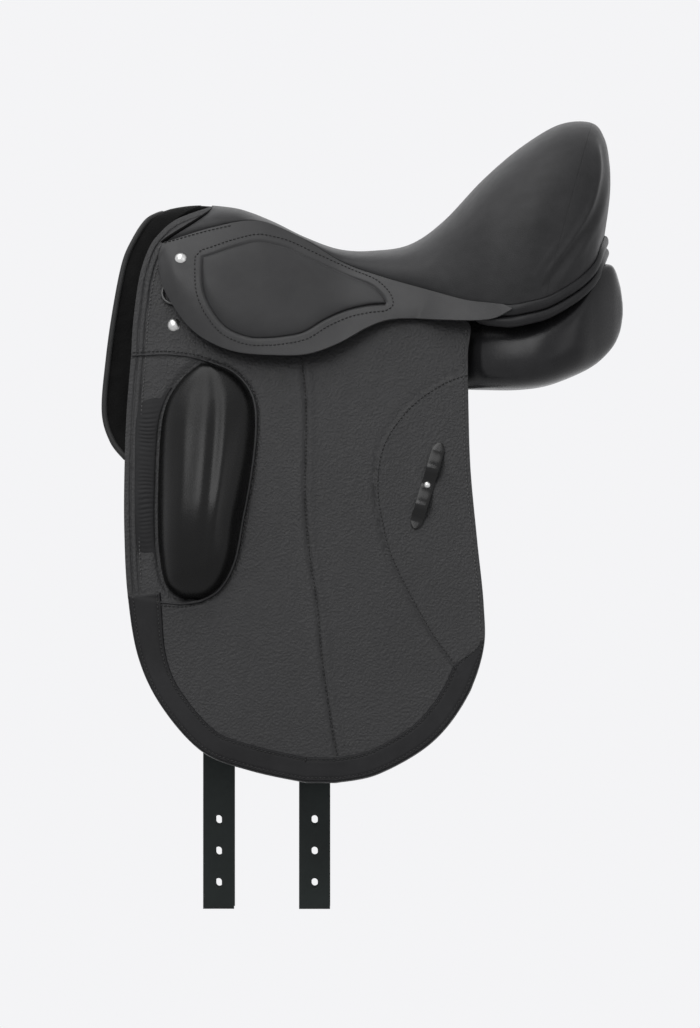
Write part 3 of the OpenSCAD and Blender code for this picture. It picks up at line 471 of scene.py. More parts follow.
# Near-black finish of the front cord: painted shadow of the slot under the seat's front edge.
slot_shade_black = leather("slot_shade_black", (0.004, 0.004, 0.004), pebble=0.8, depth=0.06, rough=0.7,
                         shine=0.05)
slot_shade_rings = cord_along(slot_shade_line, SLOT_SHADE_OUT, SLOT_SHADE_R, 12)
slot_shade_cord = skin("front_slot_shade", slot_shade_rings, slot_shade_black, flip=True, closed=True, capped=True)
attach(slot_shade_cord, "saddle")

# Rolls round the back
# Under the seat's seam a narrow bound edge and a fuller roll run side by side round the cantle: leather
# wrapped over cord and sewn in, which tie the seat to the panels.

WELT_W = 9.0
SEAT_WELT_H = 12.0
PANEL_WELT_H = 11.0
roll_leather = leather("roll_leather", (0.019, 0.019, 0.02), pebble=0.9, depth=0.12, rough=0.45,
                       gloss=0.03, shine=0.16)


def back_roll(start, top, height, width):
    """An oval carried along the seam from one side round to the other, pinched shut at both ends."""
    half = np.linspace(start, 1, 90)
    s = through(SEAT_SEAM, half)
    line = np.concatenate([s, s[::-1] * (1, -1, 1)])
    way = np.gradient(line, axis=0)
    out = unit(np.stack([-way[:, 1], way[:, 0], 0 * way[:, 0]], axis=-1))
    run = np.linspace(0, 1, len(line))
    full = 0.25 + 0.75 * np.sqrt(np.clip(np.minimum(run, 1 - run) / 0.03, 0, 1))
    a = full_turn(20)
    r = full[:, None] * width / 2 * np.cos(a)
    z = -top - height / 2 + full[:, None] * height / 2 * np.sin(a)
    ring = line[:, None, :] + r[..., None] * out[:, None, :]
    ring[..., 2] += z
    return ring


ROLLS = (("seat_welt", 0.495, 0.3, SEAT_WELT_H, WELT_W - 1),
         ("panel_welt", 0.46, SEAT_WELT_H + 0.6, PANEL_WELT_H, WELT_W))
for name, start, top, height, wide in ROLLS:
    roll = skin(name, back_roll(start, top, height, wide), roll_leather,
                flip=True, closed=True, capped=True)
    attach(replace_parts(roll, name), "saddle")

# Panels
# Two long cushions that lie on both sides of the gullet and carry the saddle: soft leather filled with wool,
# narrow in front, full and rounded at the rear, where they show below the rolls.

PANEL_DROP = 92.0
PANEL_BACK = 277.0
GULLET_W = 28.0
PANEL_LIFT = 6.0
PANEL_FULLNESS = 2.6
PANEL_SECTIONS = [
    (-172, 62, 22, -92, 70), (-134, 68, 12, -92, 68), (-80, 74, 0, -88, 60), (-20, 84, -12, -86, 46),
    (50, 92, -22, -PANEL_DROP + 6, 32), (112, 104, -24 + PANEL_LIFT, -PANEL_DROP + 1, 20),
    (138, SEAT_W - 17, -23 + PANEL_LIFT, -PANEL_DROP, 14),
    (170, SEAT_W - 5, -22 + PANEL_LIFT, -PANEL_DROP, 11),
    (200, SEAT_W - 2, -15 + PANEL_LIFT, -PANEL_DROP + 4, 9),
    (230, SEAT_W - 12, 2 + PANEL_LIFT, -PANEL_DROP + 15, 7),
    (PANEL_BACK - 27, SEAT_W - 33, 25 + PANEL_LIFT, -PANEL_DROP + 26, 5),
    (PANEL_BACK - 11, SEAT_W - 55, 34, -PANEL_DROP + 42, 3),
    (PANEL_BACK - 3, SEAT_W - 70, 15, -PANEL_DROP + 58, 0),
    (PANEL_BACK, SEAT_W - 78, -4, -PANEL_DROP + 74, 0)]
SIDES = (("left", -1), ("right", 1))


def fuller(wave):
    """A wave from -1 to 1, swollen so that a round section fills its box's corners."""
    return np.sign(wave) * np.abs(wave) ** (2 / PANEL_FULLNESS)


def panel_form(count, turns):
    """Leaning rounded sections, each filling the box between its inner and outer width, top and bottom."""
    sec = through(PANEL_SECTIONS, np.linspace(0, 1, count))
    x, outer, top, low, lean = sec.T[:, :, None]
    inner = GULLET_W + 3 * (1 - ease((x + 60) / 160)) + 14 * ease((8 - lean) / 6)
    t = full_turn(turns)[None, :]
    cy, cz = fuller(np.cos(t)), fuller(np.sin(t))
    shear = 0.9 * np.sin(np.radians(lean))
    y = (outer + inner) / 2 + (outer - inner) / 2 * (cy * np.sqrt(1 - shear**2) - shear * cz)
    z = (top + low) / 2 + (top - low) / 2 * cz
    return np.stack([x + 0 * t, y, z], axis=-1)


panel_leather = leather("panel_leather", (0.016, 0.016, 0.017), pebble=1.0, depth=0.12, rough=0.28,
                        gloss=0.04, shine=0.2)
panel_grid = panel_form(110, 64)
for side, sign in SIDES:
    panel = skin(f"panel_{side}", panel_grid * (1, sign, 1), panel_leather,
                 flip=sign > 0, closed=True, capped=True)
    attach(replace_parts(panel, f"panel_{side}"), "saddle")

# Gullet lining
# A strip of lining leather that closes the roof of the gullet between the panels.

LINING_W = 33.1
LINING_T = 3.0
LINING_ARCH = 6.0
LINING = [(-110, 32), (-60, 16), (0, LINING_T), (60, -8), (120, -14), (180, -10), (225, 9), (248, 29)]
lining_leather = leather("lining_leather", (0.028, 0.028, 0.029), pebble=0.8, depth=0.1, rough=0.6,
                         fibre=0.2, shine=0.2)
lining_line = through(LINING, np.linspace(0, 1, 80))
lining_y = np.linspace(-1, 1, 25)
lining_grid = np.stack(
    [lining_line[:, :1] + 0 * lining_y, LINING_W * lining_y + 0 * lining_line[:, :1],
     lining_line[:, 1:] - LINING_ARCH * lining_y**2], axis=-1)
gullet_lining = thicken(skin("gullet_lining", lining_grid, lining_leather), LINING_T, edge=0.8)
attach(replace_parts(gullet_lining, "gullet_lining"), "saddle")

# Front lobes
# The panel's front lobes, joined over the withers: brushed leather with a corded binding, which stands
# forward of the flaps and shows as the dark front of the saddle.

HIP_W = 86.0
LEAN = 0.30
LEAN_LOSS = 0.00009
RIDGE_H = POMMEL_H + 3
SPLAY = 0.11
SPLAY_X = -50.0
FLAP_T = 4.5
LOBE_FRONT = 250.0
LOBE_DROP = 162.0
LOBE_T = 12.0
LOBE_BACK = -179.0
LOBE_TOP_BACK = -152.0
LOBE_OUT = -FLAP_T - 2.5
LOBE_RISE = 6.0
LOBE_NOSE = 2.5
LOBE_ACROSS = ([0, 0.42, 0.5, 0.92, 1.0], [0.03, 1.0, 1.0, 0.03, 0.03])
LOBE_DEPTH = ([0, 0.08, 0.42, 0.5, 0.84, 0.92, 1.0], [0.12, 0.0, 0.0, 1.0, 1.0, 0.88, 0.12])
BINDING_R = 3.1
BINDING_SUNK = 2.4
BINDING_OUT = (-1.0, 0.0, 0.15)
LOBE_EDGE = [
    (-LOBE_FRONT + 22, -LOBE_DROP), (-LOBE_FRONT + 8, -LOBE_DROP + 18), (-LOBE_FRONT, -LOBE_DROP + 48),
    (-LOBE_FRONT + 4, -61), (-LOBE_FRONT + 11, -10), (-LOBE_FRONT + 20, 36), (-LOBE_FRONT + 30, 60),
    (-LOBE_FRONT + 42, POMMEL_H - 18), (-LOBE_FRONT + 52, POMMEL_H - 10), (-LOBE_FRONT + 58, POMMEL_H - 7)]


def side_half(z):
    """Half width over the flaps: it leans outwards below the hips and closes to an arch above."""
    h = np.clip(z / RIDGE_H, 0, 1)
    low = HIP_W - LEAN * z - LEAN_LOSS * z * z
    high = HIP_W * np.sqrt(1 - h * h) - LEAN * z * (1 - h)
    return np.where(z < 0, low, high)


def side_point(x, z, out=0.0):
    """A point on the outer face of the flap, moved outwards by the given height."""
    x, z, out = np.broadcast_arrays(np.asarray(x, float), np.asarray(z, float), np.asarray(out, float))
    return np.stack([x, side_half(z) + SPLAY * (x - SPLAY_X) + out, z], axis=-1)


def lobe_point(s, c, out):
    """Lobe: s runs up its front edge and c back under the flap; over the withers both sides close to meet."""
    e = through(LOBE_EDGE, s)
    over = ease((s - 0.75) / 0.25)
    x = mix(e[..., 0], mix(LOBE_BACK, LOBE_TOP_BACK + 14 * (out < LOBE_OUT - 3), over), c)
    close = np.clip((s - 0.8) / 0.2, 0, 1) ** 2
    y = side_half(e[..., 1]) + SPLAY * (x - SPLAY_X) + out
    rise = LOBE_RISE * (1 - (1 - c) ** 2) * over
    under = (out - LOBE_OUT) * ease((s - 0.6) / 0.3) * mix(1, 0.35, over * c)
    z = e[..., 1] + rise + under
    return np.stack([x, np.maximum(mix(y, 0, close), 0), z], axis=-1)


def lobe_section(s, t):
    """Closed outline of the lobe's thickness: along the face, round the rear, back and round the front."""
    c, depth = np.interp(t, *LOBE_ACROSS), np.interp(t, *LOBE_DEPTH)
    front = bump_at(np.minimum(t, 1 - t), 0.0, 0.05)
    p = lobe_point(s, c, LOBE_OUT - LOBE_T * depth)
    p[..., 0] -= LOBE_NOSE * front
    return p


lobe_suede = leather("lobe_suede", (0.004, 0.004, 0.004), pebble=2.2, depth=0.45, rough=0.75,
                     mottle=0.8, fibre=0.02, shine=0.05)
lobe_binding = leather("lobe_binding", (0.03, 0.03, 0.03), pebble=0.9, depth=0.1, rough=0.5, shine=0.15)
lobe_s, lobe_t = grid_of(np.linspace(0, 1, 110), np.linspace(0, 1, 56, endpoint=False))
lobe_right = lobe_section(lobe_s, lobe_t)
lobe_grid = np.concatenate([lobe_right, (lobe_right * (1, -1, 1))[-2::-1]])
front_arch = skin("front_arch", lobe_grid, lobe_suede, closed=True, capped=True)
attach(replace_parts(front_arch, "front_arch"), "saddle")

edge_s = np.linspace(0, 1, 160)
edge_half = lobe_point(edge_s, 0 * edge_s, LOBE_OUT - 0.2)
edge_half[:, 2] -= BINDING_SUNK * ease((edge_s - 0.7) / 0.3)
edge_line = np.concatenate([edge_half, (edge_half * (1, -1, 1))[-2::-1]])
binding_rings = cord_along(edge_line, BINDING_OUT, BINDING_R, 16, 0.95)
binding = skin("lobe_binding", binding_rings, lobe_binding, closed=True, capped=True)
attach(binding, "saddle")

# Flaps
# Long side pieces of pebbled leather, lined with a second layer, with a bound front edge, two sewn seams
# and rows of waxed stitches along seams and edges. They bend outwards just below the skirts.

FLAP_FRONT = 229.5
FLAP_BACK = 136.0
FLAP_DROP = 491.0
FLAP_BEND = -58.0
FLAP_HEM = 0.065
FLAP_SPARE = 0.4
HEM_END = -300.0
HEM_W = 13.0
HEM_RISE = 0.5
HEM_GROOVES = ((-1.2, 6.4, 1.0), (-1.0, 12.6, 1.0))
MIDDLE_GROOVE = ((-1.4, 0, 1.6), (0.7, 5, 4.0), (0.7, -5, 4.0))
REAR_GROOVE = ((-1.3, 0, 1.5),)
REAR_LIP = 0.8
FOLD_LIP = 0.9
FOLD_GROOVE = ((-0.7, -1.5, 1.8),)
BLOCK_TROUGH = ((-2.0, 2.0, 2.6),)
WAVINESS = 0.35
FLAP_EDGES = [
    (-POMMEL_X, POMMEL_H - 2, -POMMEL_X + 33, 58), (-FLAP_FRONT + 53.5, POMMEL_H - 15, -60, 14),
    (-FLAP_FRONT + 34.5, 66.5, 0, -10), (-FLAP_FRONT + 23.5, 50, 60, -18), (-FLAP_FRONT + 14.5, 21, 100, -21),
    (-FLAP_FRONT + 8.5, -24, FLAP_BACK - 15, -26), (-FLAP_FRONT + 6.5, FLAP_BEND, FLAP_BACK - 17, FLAP_BEND),
    (-FLAP_FRONT + 2, -117, FLAP_BACK - 16.5, -117), (-FLAP_FRONT, -175, FLAP_BACK - 14.5, -175),
    (-FLAP_FRONT, -235, FLAP_BACK - 8, -245), (-FLAP_FRONT + 3.5, -300, FLAP_BACK - 1.5, -310),
    (-FLAP_FRONT + 14.5, -FLAP_DROP + 127, FLAP_BACK - 2, -FLAP_DROP + 135),
    (-FLAP_FRONT + 38.5, -FLAP_DROP + 77, FLAP_BACK - 20, -FLAP_DROP + 85),
    (-FLAP_FRONT + 79.5, -FLAP_DROP + 32, FLAP_BACK - 55, -FLAP_DROP + 41),
    (-FLAP_FRONT + 128.5, -FLAP_DROP + 13, FLAP_BACK - 108, -FLAP_DROP + 10),
    (-45, -FLAP_DROP + 1, -15, -FLAP_DROP + 1)]
MIDDLE_SEAM = [(-51, -52), (-46, -100), (-45.5, -150), (-46.5, -190), (-45, -228), (-41, -267), (-34, -311),
               (-29, -367), (-21, -422), (-14, -464)]
REAR_SEAM = [(118, -74), (96, -81.5), (67, -100), (45, -123), (30, -149), (24.5, -175), (24, -200),
             (28.5, -228), (38, -263), (60, -308), (83, -347), (109, -382)]


def seam_line(points, count=90):
    """A smooth line in the side view through the points of a seam."""
    return through(points, np.linspace(0, 1, count))


def both_edges(table, count):
    """The two smooth lines in the side view whose points stand side by side in a table."""
    rows = seam_line(table, count)
    return rows[:, :2], rows[:, 2:]


middle_line, rear_line = seam_line(MIDDLE_SEAM), seam_line(REAR_SEAM)
front_edge, rear_edge = both_edges(FLAP_EDGES, 240)

BLOCK_EDGES = [
    (-152, -65.5, -142, -66), (-168, -78, -122, -74), (-181, -95, -107, -88), (-188.5, -112, -99, -105),
    (-192.5, -133, -97.3, -128), (-194.5, -165, -99.5, -158), (-195.5, -200, -104.5, -192),
    (-195.5, -232, -111, -226), (-194, -258, -117, -260), (-189, -286, -125.5, -282),
    (-180, -299, -137, -297), (-168, -305.5, -152, -305.5)]
HEAD_FOLD = [(-222, -59), (-205, -58), (-187, -57.5), (-170, -59), (-155, -62), (-142, -66)]
FOOT_FOLD = [(-225, -301), (-205, -305), (-188, -307.5), (-170, -308.5), (-152, -305.5)]
head_fold, foot_fold = seam_line(HEAD_FOLD, 60), seam_line(FOOT_FOLD, 60)
block_front, block_rear = both_edges(BLOCK_EDGES, 90)


def flap_relief(x, z):
    """Height of the flap's face: grooves with a swollen lip along the seams, a bound strip along the front
    edge, a trough round the knee block with a fold at its head and foot, and a slow waviness of the hide."""
    mid, _ = distance(x, z, middle_line)
    rear, _ = distance(x, z, rear_line)
    front, _ = distance(x, z, front_edge)
    edge = np.abs(front)
    height = bells(mid, MIDDLE_GROOVE) + bells(rear, REAR_GROOVE)
    height += REAR_LIP * ease((rear + 0.5) / 2.5) * np.exp(-np.maximum(rear, 0) / 18)
    height += (HEM_RISE * ease(HEM_W - edge) + bells(edge, HEM_GROOVES)) * (z > HEM_END)
    height += WAVINESS * np.sin(x / 31 + 0.6) * np.sin(z / 43 + 1.1) * ease(edge / 30)
    for fold, way in ((head_fold, 1), (foot_fold, -1)):
        off, _ = distance(x, z, fold)
        height += FOLD_LIP * ease((way * off + 0.8) / 1.6) * np.exp(-np.abs(off) / 9)
        height += bells(way * off, FOLD_GROOVE)
    trough = np.minimum(np.abs(distance(x, z, block_front)[0]), np.abs(distance(x, z, block_rear)[0]))
    return height + bells(trough, BLOCK_TROUGH)


def flap_grid(rows, columns):
    """Grid between the flap's front and rear edge, closer together along the hem in front."""
    hem = np.linspace(0, FLAP_HEM, columns // 6)
    rest = np.linspace(FLAP_HEM, 1, columns - len(hem) + 1)[1:]
    v, c = grid_of(np.linspace(0, 1, rows), np.append(hem, rest))
    e = through(FLAP_EDGES, v)
    return mix(e[..., 0], e[..., 2], c), mix(e[..., 1], e[..., 3], c)


flap_leather = leather("flap_leather", (0.034, 0.034, 0.035), pebble=2.4, depth=0.8, rough=0.46,
                       mottle=0.08, shine=0.24)
flap_x, flap_z = flap_grid(230, 190)
flap_shape = side_point(flap_x, flap_z, flap_relief(flap_x, flap_z))


def bend_flap(piece, side):
    """Bakes a piece's placement into its points. The points above and below the flap's bend are worked out but
    not used, so the piece does not bend.
    """
    sign = dict(SIDES)[side]
    top = side_point(0.0, FLAP_BEND + 10) * (1, sign, 1) * MM
    low = side_point(0.0, FLAP_BEND - 14) * (1, sign, 1) * MM
    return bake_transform(piece)


for side, sign in SIDES:
    flap = skin(f"flap_{side}", flap_shape * (1, sign, 1), flap_leather, flip=sign > 0)
    thicken(flap, FLAP_T - FLAP_SPARE, edge=1.2)
    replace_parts(flap, f"flap_{side}", f"flap_head_{side}")
    bend_flap(flap, side)

STITCH_PITCH = 4.2
STITCH_R = 0.7


def thread(name, tone):
    """Waxed thread: a twist of fine strands."""
    yarn = Finish(name)
    twist = yarn.noise(yarn.place(), 1800.0, 2.0)
    yarn.set(Base_Color=yarn.tint(twist, tuple(0.6 * c for c in tone), tone), Roughness=0.4 + 0.2 * twist)
    yarn.relief(twist, 0.0001)
    return yarn.material


dark_thread = thread("dark_thread", (0.003, 0.003, 0.003))
pale_thread = thread("pale_thread", (0.085, 0.085, 0.085))


def run_of(line):
    """Length along a line at each of its points."""
    return np.concatenate([[0], np.cumsum(np.linalg.norm(np.diff(line, axis=0), axis=1))])


def at_run(line, places):
    """Points of a line at the given lengths along it."""
    run = run_of(line)
    return np.stack([np.interp(places, run, column) for column in line.T], axis=-1)


def stitches(line, out):
    """Stitches along a line: spindles of even pitch that follow it, with their ends sunk into the leather."""
    middle = (np.arange(int(run_of(line)[-1] / STITCH_PITCH)) + 0.5)[:, None] * STITCH_PITCH
    share = np.linspace(-1, 1, 7)
    way = unit(at_run(line, middle + 0.5) - at_run(line, middle - 0.5))
    up = square_to(way, np.array(out))
    side = np.cross(way, up)
    lift = (0.6 * STITCH_R - 0.7 * STITCH_R * share**2)[None, :, None]
    core = at_run(line, middle + 0.36 * STITCH_PITCH * share) + lift * up
    a = full_turn(6)[None, None, :, None]
    radius = (STITCH_R * np.sqrt(1 - 0.9 * share**2))[None, :, None, None]
    return core[:, :, None, :] + radius * (np.cos(a) * up[:, :, None, :] + np.sin(a) * side[:, :, None, :])


def sewn(name, rows, finish, sign):
    """One piece with the stitches of several rows, on the side of the given sign."""
    points = np.concatenate([stitches(line, out) for line, out in rows])
    count, rings, turns = points.shape[:3]
    index = np.arange(count * rings * turns).reshape(count, rings, turns)
    ring = np.concatenate([index, index[:, :, :1]], axis=2)
    quads = np.stack([ring[:, :-1, :-1], ring[:, 1:, :-1], ring[:, 1:, 1:], ring[:, :-1, 1:]], axis=-1)
    faces = quads.reshape(-1, 4).tolist() + index[:, 0].tolist() + index[:, -1, ::-1].tolist()
    if sign > 0:
        faces = [face[::-1] for face in faces]
    return piece_of(name, points * (1, sign, 1), faces, finish)


def beside(line, gap):
    """A line in the side view, moved by a gap to its left."""
    way = unit(np.gradient(line, axis=0))
    return line + gap * np.stack([-way[:, 1], way[:, 0]], axis=-1)


def stretch(line, low, high):
    """The stretch of a line in the side view that lies between two heights."""
    return line[(line[:, 1] > low) & (line[:, 1] < high)]


def on_flap(line, out=0.0):
    """A line of the side view laid on the flap's face, moved outwards by the given height."""
    return side_point(line[:, 0], line[:, 1], flap_relief(line[:, 0], line[:, 1]) + out)


FLAP_OUT = (0.0, 1.0, 0.2)
BLOCK_OUT = (-0.4, 1.0, 0.2)
FRONT_ROW = 15.0
FRONT_ROW_ENDS = (-296.0, 40.0)
REAR_ROW = -4.5
REAR_ROW_ENDS = (-340.0, -30.0)
BLOCK_ROW = 4.2
front_row = stretch(beside(front_edge, FRONT_ROW), *FRONT_ROW_ENDS)
rear_row = stretch(beside(rear_edge, REAR_ROW), *REAR_ROW_ENDS)
block_seam = np.concatenate([head_fold[:-1], block_rear[:-1], foot_fold[::-1]])
block_row = beside(block_seam, BLOCK_ROW)
pale_rows = [(on_flap(front_row), FLAP_OUT), (on_flap(rear_row), FLAP_OUT),
             (on_flap(beside(block_front[4:-6], 1.6), 1.2), BLOCK_OUT)]
dark_rows = [(on_flap(beside(middle_line, 0.4), 0.4), FLAP_OUT),
             (on_flap(beside(rear_line, 4.0)), FLAP_OUT), (on_flap(block_row), FLAP_OUT)]
flap_rows = (("pale_stitches", pale_rows, pale_thread), ("dark_stitches", dark_rows, dark_thread))
for side, sign in SIDES:
    for name, rows, yarn in flap_rows:
        bend_flap(sewn(f"{name}_{side}", rows, yarn, sign), side)

# Border bands
# A band of smoother leather sewn along the lower edge of each flap, from the foot of the knee block round
# to the rear, where it curves out to the edge.

BAND_W = 25.0
BAND_T = 1.6
BAND_LIFT = 0.3
BAND_START = -300.0
BAND_END = -345.0
BAND_FRONT_GAIN = 0.34
BAND_FRONT_RUN = 0.2
BAND_TAIL_LOSS = 0.85
BAND_TAIL_START = 0.93
BAND_TAIL_RUN = 0.07
BAND_GROOVE = 0.45
BAND_COLUMNS = 26
BAND_ROWS = (0.13, 0.87)
band_leather = leather("band_leather", (0.019, 0.019, 0.020), pebble=0.8, depth=0.12, rough=0.48,
                       shine=0.13)


def band_line():
    """The flap's lower edge as one line, and the way inwards from it."""
    line = np.concatenate([front_edge[front_edge[:, 1] < BAND_START][:-1],
                           rear_edge[::-1][rear_edge[::-1, 1] < BAND_END]])
    share = np.linspace(0, 1, 300)
    line = at_run(line, share * run_of(line)[-1])
    return line, beside(line, 1.0) - line, share


def band_at(reach, out):
    """Points of the band: reach is the way in from the flap's edge as a share of the band's width, which is
    greater in front and shrinks at the tail."""
    line, inward, run = band_line()
    front = 1 + BAND_FRONT_GAIN * ease((BAND_FRONT_RUN - run) / BAND_FRONT_RUN)
    tail = 1 - BAND_TAIL_LOSS * ease((run - BAND_TAIL_START) / BAND_TAIL_RUN)
    wide = BAND_W * front * tail
    p = line[:, None, :] + (1.0 + (wide[:, None] - 1.0) * reach)[..., None] * inward[:, None, :]
    return side_point(p[..., 0], p[..., 1], out + flap_relief(p[..., 0], p[..., 1]) * 0.3)


band_c = np.concatenate([np.linspace(0, 1, BAND_COLUMNS), np.linspace(1, 0, 8)[1:-1]])[None, :]
band_up = np.where(np.arange(band_c.size) < BAND_COLUMNS, BAND_T, -0.6)[None, :]
band_round = np.clip(np.minimum(band_c, 1 - band_c) / 0.05, 0, 1)
band_grooves = sum(BAND_GROOVE * bump_at(band_c, reach, 0.04) for reach in BAND_ROWS)
band_top = BAND_LIFT + BAND_T * np.sqrt(1 - (1 - band_round) ** 2) - band_grooves
band_h = np.where(band_up > 0, band_top, band_up)
band_shape = band_at(band_c, band_h)
band_rows = [(band_at(np.array([[reach]]), BAND_LIFT + BAND_T - 0.4)[:, 0], FLAP_OUT) for reach in BAND_ROWS]
for side, sign in SIDES:
    band = skin(f"flap_band_{side}", band_shape * (1, sign, 1), band_leather,
                flip=sign > 0, closed=True, capped=True)
    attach(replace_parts(band, f"flap_band_{side}"), f"flap_{side}")
    row = sewn(f"band_stitches_{side}", band_rows, dark_thread, sign)
    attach(row, f"flap_{side}")

# Knee blocks
# Large glossy pads on the outside of the flaps, low at the top and full at the foot. A corded welt closes
# them round the rear, and in front a strip of fine pleats gathers the flap up to them.

BLOCK_PROUD = 40.0
BLOCK_TOP = 15.0
BLOCK_T = 2.0
BLOCK_GAP = 0.9
BLOCK_FOLDS = ((1.5, 0.47, 0.09), (-1.2, 0.58, 0.06), (1.7, 0.69, 0.07), (0.8, 0.25, 0.06))
block_leather = leather("block_leather", (0.003, 0.003, 0.003), pebble=1.0, depth=0.10, rough=0.30,
                        gloss=0.03, shine=0.2)


def eased(count):
    """Shares from 0 to 1 that lie closer together at both ends."""
    return 0.5 - 0.5 * np.cos(np.linspace(0, np.pi, count))


def block_point(v, c):
    """The block's face: a low crown at the top that grows to a full belly, below which it turns under."""
    e = through(BLOCK_EDGES, v)
    x, z = mix(e[..., 0], e[..., 2], c), mix(e[..., 1], e[..., 3], c)
    crown = mix(BLOCK_TOP, BLOCK_PROUD, ease((v - 0.05) / 0.6))
    head = np.clip(1 - np.clip(1 - v / 0.4, 0, 1) ** 4, 0, 1) ** 0.5
    foot = 1 - np.clip((v - 0.56) / 0.44, 0, 1) ** 1.5
    ends = head * np.clip(foot, 0, 1)
    across = np.clip(1 - np.abs(2 * c - 1) ** 2.6, 0, 1) ** 0.6
    folds = bells(c, BLOCK_FOLDS) * bump_at(v, 0.42, 0.26)
    return side_point(x, z, BLOCK_GAP + (crown + folds) * ends * across)


block_v, block_c = grid_of(eased(110), eased(80))
block_shape = block_point(block_v, block_c)
for side, sign in SIDES:
    block = skin(f"knee_block_{side}", block_shape * (1, sign, 1), block_leather, flip=sign > 0)
    thicken(block, BLOCK_T, edge=0.5)
    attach(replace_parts(block, f"knee_block_{side}"), f"flap_{side}")

PLEATS_X = -219.0
PLEATS_TOP = -90.0
PLEATS_LOW = -272.0
PLEAT = 4.4
PLEAT_T = 1.2
# The pleats are gathered flap leather; their tone, darker than the flap's, is painted shade of the hollow
# beside the knee block.
pleat_leather_painted_shade = leather("pleat_leather_painted_shade", (0.021, 0.021, 0.022), pebble=0.9, depth=0.10, rough=0.55,
                        shine=0.12)
welt_leather = leather("welt_leather", (0.036, 0.036, 0.037), pebble=0.8, depth=0.08, rough=0.42, shine=0.2)


def pleat_point(z, c):
    """Gathered strip between the flap's bound edge and the block: uneven ridges across a low swelling."""
    x = mix(PLEATS_X + 6 * np.abs(2 * (z - PLEATS_LOW) / (PLEATS_TOP - PLEATS_LOW) - 1) ** 4,
            np.interp(-z, -block_front[:, 1], block_front[:, 0]) - 3.5, c)
    swell = np.sin(np.pi * np.clip(c, 0.0, 1.0)) ** 0.6
    ends = ease((PLEATS_TOP - z) / 40) * ease((z - PLEATS_LOW) / 40)
    phase = 2 * np.pi * z / PLEAT + 1.6 * np.sin(z / 7.3) + 1.2 * np.sin(c * 4 + z / 19)
    ridge = (0.45 + 0.22 * np.sin(z / 11.7)) * (0.5 + 0.5 * np.cos(phase)) ** 0.7 * ease((c - 0.05) / 0.3)
    return side_point(x, z, -0.6 + ends * (1.1 + 1.2 * swell + ridge * swell))


pleat_z, pleat_c = grid_of(np.linspace(PLEATS_TOP, PLEATS_LOW, 330), np.linspace(0, 1, 22))
pleat_shape = pleat_point(pleat_z, pleat_c)
welt_edge = beside(block_seam, 1.2)
welt_run = np.linspace(0, 1, len(welt_edge))
welt_rise = ease((welt_run - 0.2) / 0.12) * ease((0.84 - welt_run) / 0.12)
welt_line = on_flap(welt_edge, 0.3 + 1.6 * welt_rise)
for side, sign in SIDES:
    pleats = skin(f"pleats_{side}", pleat_shape * (1, sign, 1), pleat_leather_painted_shade, flip=sign > 0)
    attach(thicken(pleats, PLEAT_T, edge=0.3), f"flap_{side}")
    cord = cord_along(welt_line, FLAP_OUT, 0.9 + 0.6 * welt_rise, 12)
    welt = skin(f"block_welt_{side}", cord * (1, sign, 1), welt_leather,
                flip=sign > 0, closed=True, capped=True)
    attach(welt, f"flap_{side}")

# Skirts
# Small flaps of smooth leather over the stirrup bars, sewn to the seat along its seam and swollen in the
# middle, with a shallow window pressed in for a patch.

SKIRT_T = 4.0
SKIRT_DROP = 57.5
SKIRT_SPACE = 17.0
SKIRT_BULGE = 12.0
SKIRT_LIE = 0.3
SEAM_GAP = 0.1
WINDOW_D = 1.8
WINDOW_EDGE = 2.6
SKIRT_BEND = (-190.0, 9.0)
SKIRT_FALL = 0.11
SKIRT_COLUMNS = [
    (0.000, -194.5, 51.5, 7), (0.008, -195.5, 36, 7), (0.018, -191, 13, 7), (0.030, -179, -9, 9),
    (0.045, -164, -SKIRT_DROP + 29, 11), (0.065, -144, -SKIRT_DROP + 14, 13),
    (0.100, -114, -SKIRT_DROP + 3, 15), (0.145, -74, -SKIRT_DROP, SKIRT_SPACE),
    (0.190, -43, -SKIRT_DROP + 1.5, SKIRT_SPACE),
    (0.235, -13, -SKIRT_DROP + 12, 15), (0.290, 17, -29, 11), (0.330, 38, -21.5, 8), (0.370, 60, -20, 6),
    (0.430, 95, -21.5, 4), (0.480, 128, -22, 3), (0.508, 147, -19.5, 3), (0.538, 164, -10.5, 3.5)]


def skirt_point(s, v, out=0.0):
    """The skirt's face: columns from the seat's seam down to the free rim, bowed outwards over the bar."""
    col = through(SKIRT_COLUMNS, s)
    seam = through(SEAT_SEAM, col[..., 0])
    top_y = seam[..., 1] + SKIRT_T + 2 * SKIRT_LIE
    rim = side_point(col[..., 1], col[..., 2], col[..., 3] + SKIRT_T)
    rim_y = np.maximum(rim[..., 1], top_y + 4)
    bow = SKIRT_BULGE * np.sin(np.pi * v) * ease(s / 0.175) * ease((0.7 - s) / 0.35)
    return np.stack([mix(seam[..., 0], col[..., 1], v), mix(top_y, rim_y, v) + bow + out,
                     mix(seam[..., 2] - SEAM_GAP, col[..., 2], v)], axis=-1)


def bend_skirt(piece, side):
    """Bakes a piece's placement into its points. The skirt's straight bend line is worked out and passed on
    but not used, so the piece does not bend.
    """
    down = unit(np.array([-SKIRT_FALL, 0.0, -1.0]))
    middle = np.array([SKIRT_BEND[0], 0.0, SKIRT_BEND[1]])
    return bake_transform(piece, "saddle", f"skirt_{side}", (middle - 9 * down) * MM, (middle + 9 * down) * MM)


